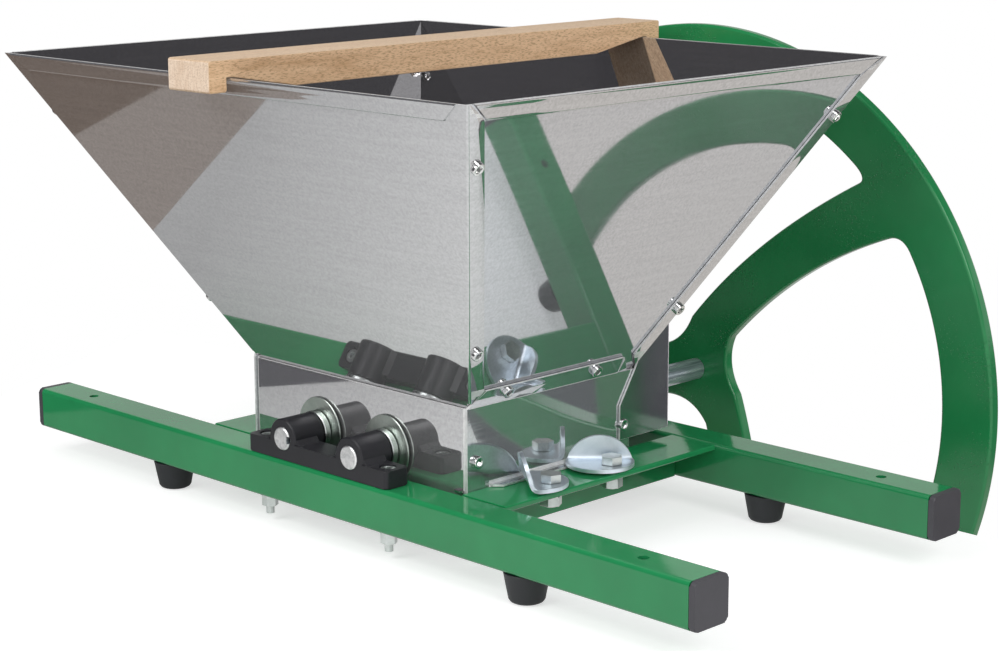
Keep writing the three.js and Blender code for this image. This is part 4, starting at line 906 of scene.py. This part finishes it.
# Places of the screws: height and distance from the panel's edge, or place along Y and height
FLANGE_SCREWS = ((148, 5.8), (279.4, 6.6))
LAP_SCREWS = (("near", -66, 112.6), ("far", 19.1, 111.6))
WALL_SCREWS = (("near", -89.1, 68.6), ("far", 50.4, 67.2))
SIDE_NORMAL = Vector((1, 0, -SPREAD_X)).normalized()
for panel, side in ENDS:
    out = Vector((side * SIDE_NORMAL.x, 0, SIDE_NORMAL.z))
    for end, across, inward in (("front", front_at, 1), ("back", back_at, -1)):
        for level, (z, inset) in enumerate(FLANGE_SCREWS):
            place = (side * half_at(z, SEAT + SHEET), across(z) + inward * inset, z)
            sheet_screw(f"{end}_{panel}_corner_screw_{level}", place, out)
    for end, y, z in LAP_SCREWS:
        sheet_screw(f"{end}_{panel}_lap_screw", (side * half_at(z, SEAT + SHEET), y, z), out)
    for end, y, z in WALL_SCREWS:
        sheet_screw(f"{end}_{panel}_wall_screw", (side * BOX_HALF, y, z), side * X)

    # Painted highlights: fine rods of light steel lie along the fold under the side wall's lap and along the lap's
    # cut edge, as light lines.
    fold = [(side * BOX_HALF, BOX_FRONT + 1, BOX_TOP), (side * BOX_HALF, BOX_BACK - 1.4, BOX_TOP)]
    highlight_bead(f"{panel}_fold_highlight", fold, 0.42)
    edge = side * (half_at(LAP_TOP, SEAT + SHEET) - 0.3)
    foot = side * (BOX_HALF + 0.2)
    cut_line = [(foot, BOX_FRONT + 0.7, BOX_TOP + 0.6), (edge, BOX_FRONT + 10.8, LAP_TOP),
                (edge, BOX_BACK - 3.4, LAP_TOP), (edge, BOX_BACK - 2.0, LAP_TOP - 0.6),
                (edge - side * 0.6, BOX_BACK - 1.3, LAP_TOP - 2.2), (foot, BOX_BACK - 1.2, BOX_TOP + 0.4)]
    highlight_bead(f"{panel}_lap_edge_highlight", cut_line, 0.5)

# A small tab stands out from the foot of the front wall, near its right corner
tab = rounded_polygon([(97.2, BOX_FRONT - 3.2, 1.4), (103.4, BOX_FRONT - 3.2, 1.4),
                       (104.2, BOX_FRONT - 0.2, 0), (96.4, BOX_FRONT - 0.2, 0)], 5)
finish("front_wall_tab", prism(tab, (X, Y, Z), RAIL_TOP - 1.0, RAIL_TOP + 0.2), BRIGHT, "frame", (), 34)

# Clamp plates
for clamp in ("near", "far"):
    dress(f"{clamp}_clamp_plate", CLAMP_ZINC, 0.35, 3)
    dress(f"{clamp}_clamp_bolt", ZINC, 0.35)
    dress(f"{clamp}_clamp_nut", ZINC, 0.35)

# Flywheel: a spoke's two edges as curves from the hub, with the shaft at (0, 0)
SPOKE_UPPER = ((-6, 40), (52, 108), (144.6, 158))
SPOKE_LOWER = ((32, 29), (90.8, 91.9), (170.4, 120.9))
WINDOW_WAIST = 28.3
WHEEL_ROUND = 2.2


def bezier(points, count):
    p0, p1, p2 = (Vector(p) for p in points)
    result = []
    for i in range(count + 1):
        t = i / count
        result.append(p0 * (1 - t) ** 2 + p1 * 2 * t * (1 - t) + p2 * t * t)
    return result


def spun(points, angle):
    turn = Matrix.Rotation(angle, 2)
    return [turn @ Vector(p) for p in points]


def on_circle(angle, radius):
    return Vector((math.cos(angle), math.sin(angle))) * radius


def rim_corner(curve):
    """Where the curve, drawn on straight, meets the rim."""
    end = Vector(curve[2])
    direction = (end - Vector(curve[1])).normalized()
    along = end.dot(direction)
    reach = math.sqrt(along ** 2 - end.length_squared + RIM_INNER_RADIUS ** 2) - along
    return end + direction * reach


def wheel_window():
    """The window between one spoke's lower edge and the next spoke's upper edge."""
    step = -2 * math.pi / SPOKES
    fillet = WINDOW_FILLET / RIM_INNER_RADIUS
    first = rim_corner(SPOKE_LOWER)
    last = spun([rim_corner(SPOKE_UPPER)], step)[0]
    start = math.atan2(first.y, first.x) - fillet
    end = math.atan2(last.y, last.x) + fillet
    while end > start:
        end -= 2 * math.pi

    lower = bezier(SPOKE_LOWER, 28)
    upper = spun(bezier(SPOKE_UPPER, 28), step)[::-1]
    points = lower[:-1] + bezier((lower[-1], first, on_circle(start, RIM_INNER_RADIUS)), 10)[:-1]
    points += [on_circle(angle, RIM_INNER_RADIUS) for angle in between(start, end, 64)]
    points += bezier((on_circle(end, RIM_INNER_RADIUS), last, upper[0]), 10)[:-1] + upper[:-1]
    middle = (upper[-1] + lower[0]) / 2
    waist = Vector((2 * WINDOW_WAIST - middle.x, middle.y))
    return points + bezier((upper[-1], waist, lower[0]), 14)[:-1]


def wheel_disc():
    """The wheel as a filled curve with rounded edges, set upright on the shaft."""
    curve = bpy.data.curves.new("wheel", "CURVE")
    curve.dimensions = "2D"
    curve.fill_mode = "BOTH"
    curve.extrude = mm(WHEEL_THICKNESS / 2 - WHEEL_ROUND)
    curve.bevel_depth = mm(WHEEL_ROUND)
    curve.bevel_resolution = 4
    curve.offset = -mm(WHEEL_ROUND)
    window = wheel_window()
    loops = [[on_circle(angle, WHEEL_RADIUS) for angle in between(0, 2 * math.pi, 360)]]
    loops += [spun(window, angle) for angle in between(0, 2 * math.pi, SPOKES)]
    for loop in loops:
        spline = curve.splines.new("POLY")
        spline.points.add(len(loop) - 1)
        spline.use_cyclic_u = True
        for target, p in zip(spline.points, loop):
            target.co = (mm(p.x), mm(p.y), 0, 1)
    piece = bpy.data.objects.new("wheel_outline", curve)
    bpy.context.scene.collection.objects.link(piece)
    graph = bpy.context.evaluated_depsgraph_get()
    bm = bmesh.new()
    bm.from_mesh(piece.evaluated_get(graph).to_mesh())
    bpy.data.objects.remove(piece)
    bpy.data.curves.remove(curve)
    bmesh.ops.remove_doubles(bm, verts=bm.verts[:], dist=mm(0.01))
    upright = Matrix(((1, 0, 0, mm(DRIVE_X)), (0, 0, -1, mm(WHEEL_FRONT + WHEEL_THICKNESS / 2)),
                      (0, 1, 0, mm(SHAFT_Z)), (0, 0, 0, 1)))
    bmesh.ops.transform(bm, matrix=upright, verts=bm.verts[:])
    return bm


finish("flywheel_disc", wheel_disc(), WHEEL_PAINT, "drive", ["flywheel"], 24)
for fastener in ("hub_screw", "crank_pin", "crank_nut"):
    dress(fastener, ZINC, 0.3)

# Grip
GRIP_PROFILE = [(5.3, 0.6), (6.2, 0), (9.5, 0.1), (11.6, 0.9), (12.6, 2.6), (13.0, 5), (13.9, 14), (14.9, 28),
                (15.7, 44), (16.0, 60), (15.7, 76), (14.9, 90), (13.9, 99), (13.0, 104), (11.4, 107.8),
                (9.2, 109.6), (7.4, 110), (5.3, 109.6)]
bm = bmesh.new()
lathe_into(bm, GRIP_PROFILE, (CRANK_X, WHEEL_BACK + SEAT, CRANK_Z), Y)
finish("crank_grip_moulding", bm, GRIP_PLASTIC, "grip", ["crank_grip"], 40)

# Bar: its ends and its sides show the wood's other cuts, with their tones painted lighter or darker for how the
# light falls on each face
bar = dress("wooden_bar", WOOD, 1.1, 3)
give(bar, END_WOOD_PAINTED_LIGHT, lambda p: abs(p.normal.y) > 0.9)
give(bar, SIDE_WOOD_PAINTED_LIGHT, lambda p: abs(p.normal.x) > 0.9)

# Stage: the table, and glowing cards that only the metal sees as painted reflections: what lies beyond the table's
# left edge, and dark surroundings


def card(name, corners, material, seen=True):
    mesh = bpy.data.meshes.new(name)
    mesh.from_pydata([mm(*c) for c in corners], [], [list(range(len(corners)))])
    mesh.materials.append(material)
    piece = bpy.data.objects.new(name, mesh)
    bpy.context.scene.collection.objects.link(piece)
    if not seen:
        piece.visible_camera = False
        piece.visible_diffuse = False
        piece.visible_shadow = False
    return piece


def strongest(n, *rays):
    """1 for each of these kinds of ray, and 0 for any other."""
    path = n.tree.nodes.new("ShaderNodeLightPath")
    level = path.outputs[rays[0]]
    for ray in rays[1:]:
        level = n.math("MAXIMUM", level, path.outputs[ray])
    return level


def table_top(name, colour, glow, reflected_painted_light):
    """A plain matt surface. The glow lifts it to the background's white. Metal and glass see a part of it,
    which grows from the left to the right: painted light on the table, seen only in reflections."""
    n = material_nodes(name)
    n.set(Base_Color=(*colour, 1), Roughness=0.9, Specular_IOR_Level=0.0, Emission_Color=(1, 1, 1, 1))
    painted_light_ramp = n.spread(n.split()["X"], From_Min=mm(-360), From_Max=mm(60), To_Max=reflected_painted_light)
    part = n.math("MULTIPLY", strongest(n, "Is Glossy Ray", "Is Transmission Ray"), painted_light_ramp)
    seen = n.math("MULTIPLY", strongest(n, "Is Camera Ray"), glow)
    n.link(n.math("ADD", seen, part), "Emission Strength")
    return n.material


def reflection_glow(name, colour):
    """A sheet that glows in one even tone though it is no lamp: a painted reflection, on cards that only metal and
    glass see.
    """
    material = bpy.data.materials.new(name)
    material.use_nodes = True
    tree = material.node_tree
    tree.nodes.clear()
    light = tree.nodes.new("ShaderNodeEmission")
    light.inputs["Color"].default_value = (*colour, 1)
    output = tree.nodes.new("ShaderNodeOutputMaterial")
    tree.links.new(light.outputs["Emission"], output.inputs["Surface"])
    return material


FLOOR_Z = -0.3
TABLE_BACK = 190
EDGE_FRONT = 134  # from here to its back the table doesn't show in the hopper's steel
ROOM = 3200
GROUND = -200
FAR_GROUND = -700
TABLE_WHITE = table_top("table_white", (0.60, 0.60, 0.60), 0.62, 0.46)
card("table", [(-255, -526, FLOOR_Z), (100, -1200, FLOOR_Z), (2600, -1200, FLOOR_Z), (2600, EDGE_FRONT, FLOOR_Z),
               (-602, EDGE_FRONT, FLOOR_Z)], TABLE_WHITE)
table_edge = card("table_edge", [(-602, EDGE_FRONT, FLOOR_Z), (2600, EDGE_FRONT, FLOOR_Z),
                                 (2600, TABLE_BACK, FLOOR_Z), (-631, TABLE_BACK, FLOOR_Z)], TABLE_WHITE)
table_edge.visible_glossy = False
card("stand", [(-280, TABLE_BACK, -150), (-280, -600, -150), (-386, -600, -150), (-1500, 90, -150),
               (-1500, TABLE_BACK, -150)], reflection_glow("stand", (0.335, 0.285, 0.255)), False)
card("room_floor", [(-3000, -600, GROUND), (-280, -600, GROUND), (-280, 700, GROUND), (-3000, 700, GROUND)],
     reflection_glow("room", (0.16, 0.11, 0.08)), False)
card("room_front_floor", [(-3000, -3000, GROUND), (3000, -3000, GROUND), (3000, -600, GROUND),
                          (-3000, -600, GROUND)], reflection_glow("room_dark", (0.065, 0.062, 0.075)), False)
ROOM_WALL = reflection_glow("room_wall", (0.066, 0.064, 0.070))
for wall, corners in (
    ("front", [(-3000, 500, GROUND), (-300, -3000, GROUND), (-300, -3000, ROOM), (-3000, 500, ROOM)]),
    ("ceiling", [(-ROOM, -ROOM, ROOM), (ROOM, -ROOM, ROOM), (ROOM, ROOM, ROOM), (-ROOM, ROOM, ROOM)]),
    ("rear", [(-ROOM, ROOM, 1500), (ROOM, ROOM, 1500), (ROOM, ROOM, ROOM), (-ROOM, ROOM, ROOM)]),
    ("right", [(ROOM, -ROOM, 900), (ROOM, ROOM, 900), (ROOM, ROOM, ROOM), (ROOM, -ROOM, ROOM)]),
):
    card(f"room_{wall}", corners, ROOM_WALL, False)
card("room_left", [(-ROOM, 500, -300), (-500, ROOM, -300), (-500, ROOM, 1490), (-ROOM, 500, 1490)],
     reflection_glow("room_left", (0.66, 0.66, 0.65)), False)
card("room_back", [(300, 2100, 150), (2900, 1300, 150), (2900, 1300, FAR_GROUND), (300, 2100, FAR_GROUND)],
     reflection_glow("room_behind", (0.105, 0.11, 0.12)), False)
card("floor_behind", [(-400, TABLE_BACK, FAR_GROUND), (2200, TABLE_BACK, FAR_GROUND), (2200, 2100, FAR_GROUND),
                      (-400, 2100, FAR_GROUND)], reflection_glow("floor_behind", (0.76, 0.725, 0.685)), False)

# Light: an even pale world that camera, metal and glass see as white, and three soft lamps
AMBIENT = 0.42
world = bpy.data.worlds.new("studio")
bpy.context.scene.world = world
n = Nodes(world, "Background")
n.set(Color=(1, 1, 1, 1))
white = strongest(n, "Is Camera Ray", "Is Glossy Ray", "Is Transmission Ray")
n.link(n.spread(white, To_Min=AMBIENT, To_Max=1.0), "Strength")


def lamp(name, place, aim, size, power):
    light = bpy.data.lights.new(name, "AREA")
    light.shape = "RECTANGLE"
    light.size = mm(size[0])
    light.size_y = mm(size[1])
    light.energy = power
    piece = bpy.data.objects.new(name, light)
    piece.location = mm(*place)
    piece.rotation_euler = (mm(*aim) - mm(*place)).to_track_quat("-Z", "Y").to_euler()
    bpy.context.scene.collection.objects.link(piece)


lamp("key", (-300, -1850, 1550), (0, 0, 120), (1300, 1000), 24)
lamp("side", (1900, -500, 1400), (0, 0, 120), (1000, 1000), 18)
lamp("top", (100, 300, 2200), (0, 0, 100), (1500, 1500), 4)

# Camera
camera_data = bpy.data.cameras.new("photo_camera")
camera_data.sensor_fit = "HORIZONTAL"
camera_data.sensor_width = SENSOR_WIDTH
camera_data.lens = FOCAL_PIXELS / PHOTO_WIDTH * SENSOR_WIDTH
camera_data.shift_x = (PHOTO_WIDTH / 2 - CENTRE_PIXEL[0]) / PHOTO_WIDTH
camera_data.shift_y = (CENTRE_PIXEL[1] - PHOTO_HEIGHT / 2) / PHOTO_WIDTH
camera_data.clip_start = 0.01
camera_data.clip_end = 20
camera = bpy.data.objects.new("photo_camera", camera_data)
right = CAMERA_RIGHT.normalized()
back = right.cross(CAMERA_UP).normalized()
up = back.cross(right)
turn = Matrix((right, up, back)).transposed()
camera.matrix_world = Matrix.Translation(mm(*CAMERA_PLACE)) @ turn.to_4x4()
bpy.context.scene.collection.objects.link(camera)
bpy.context.scene.camera = camera
bpy.context.scene.view_settings.view_transform = "Standard"
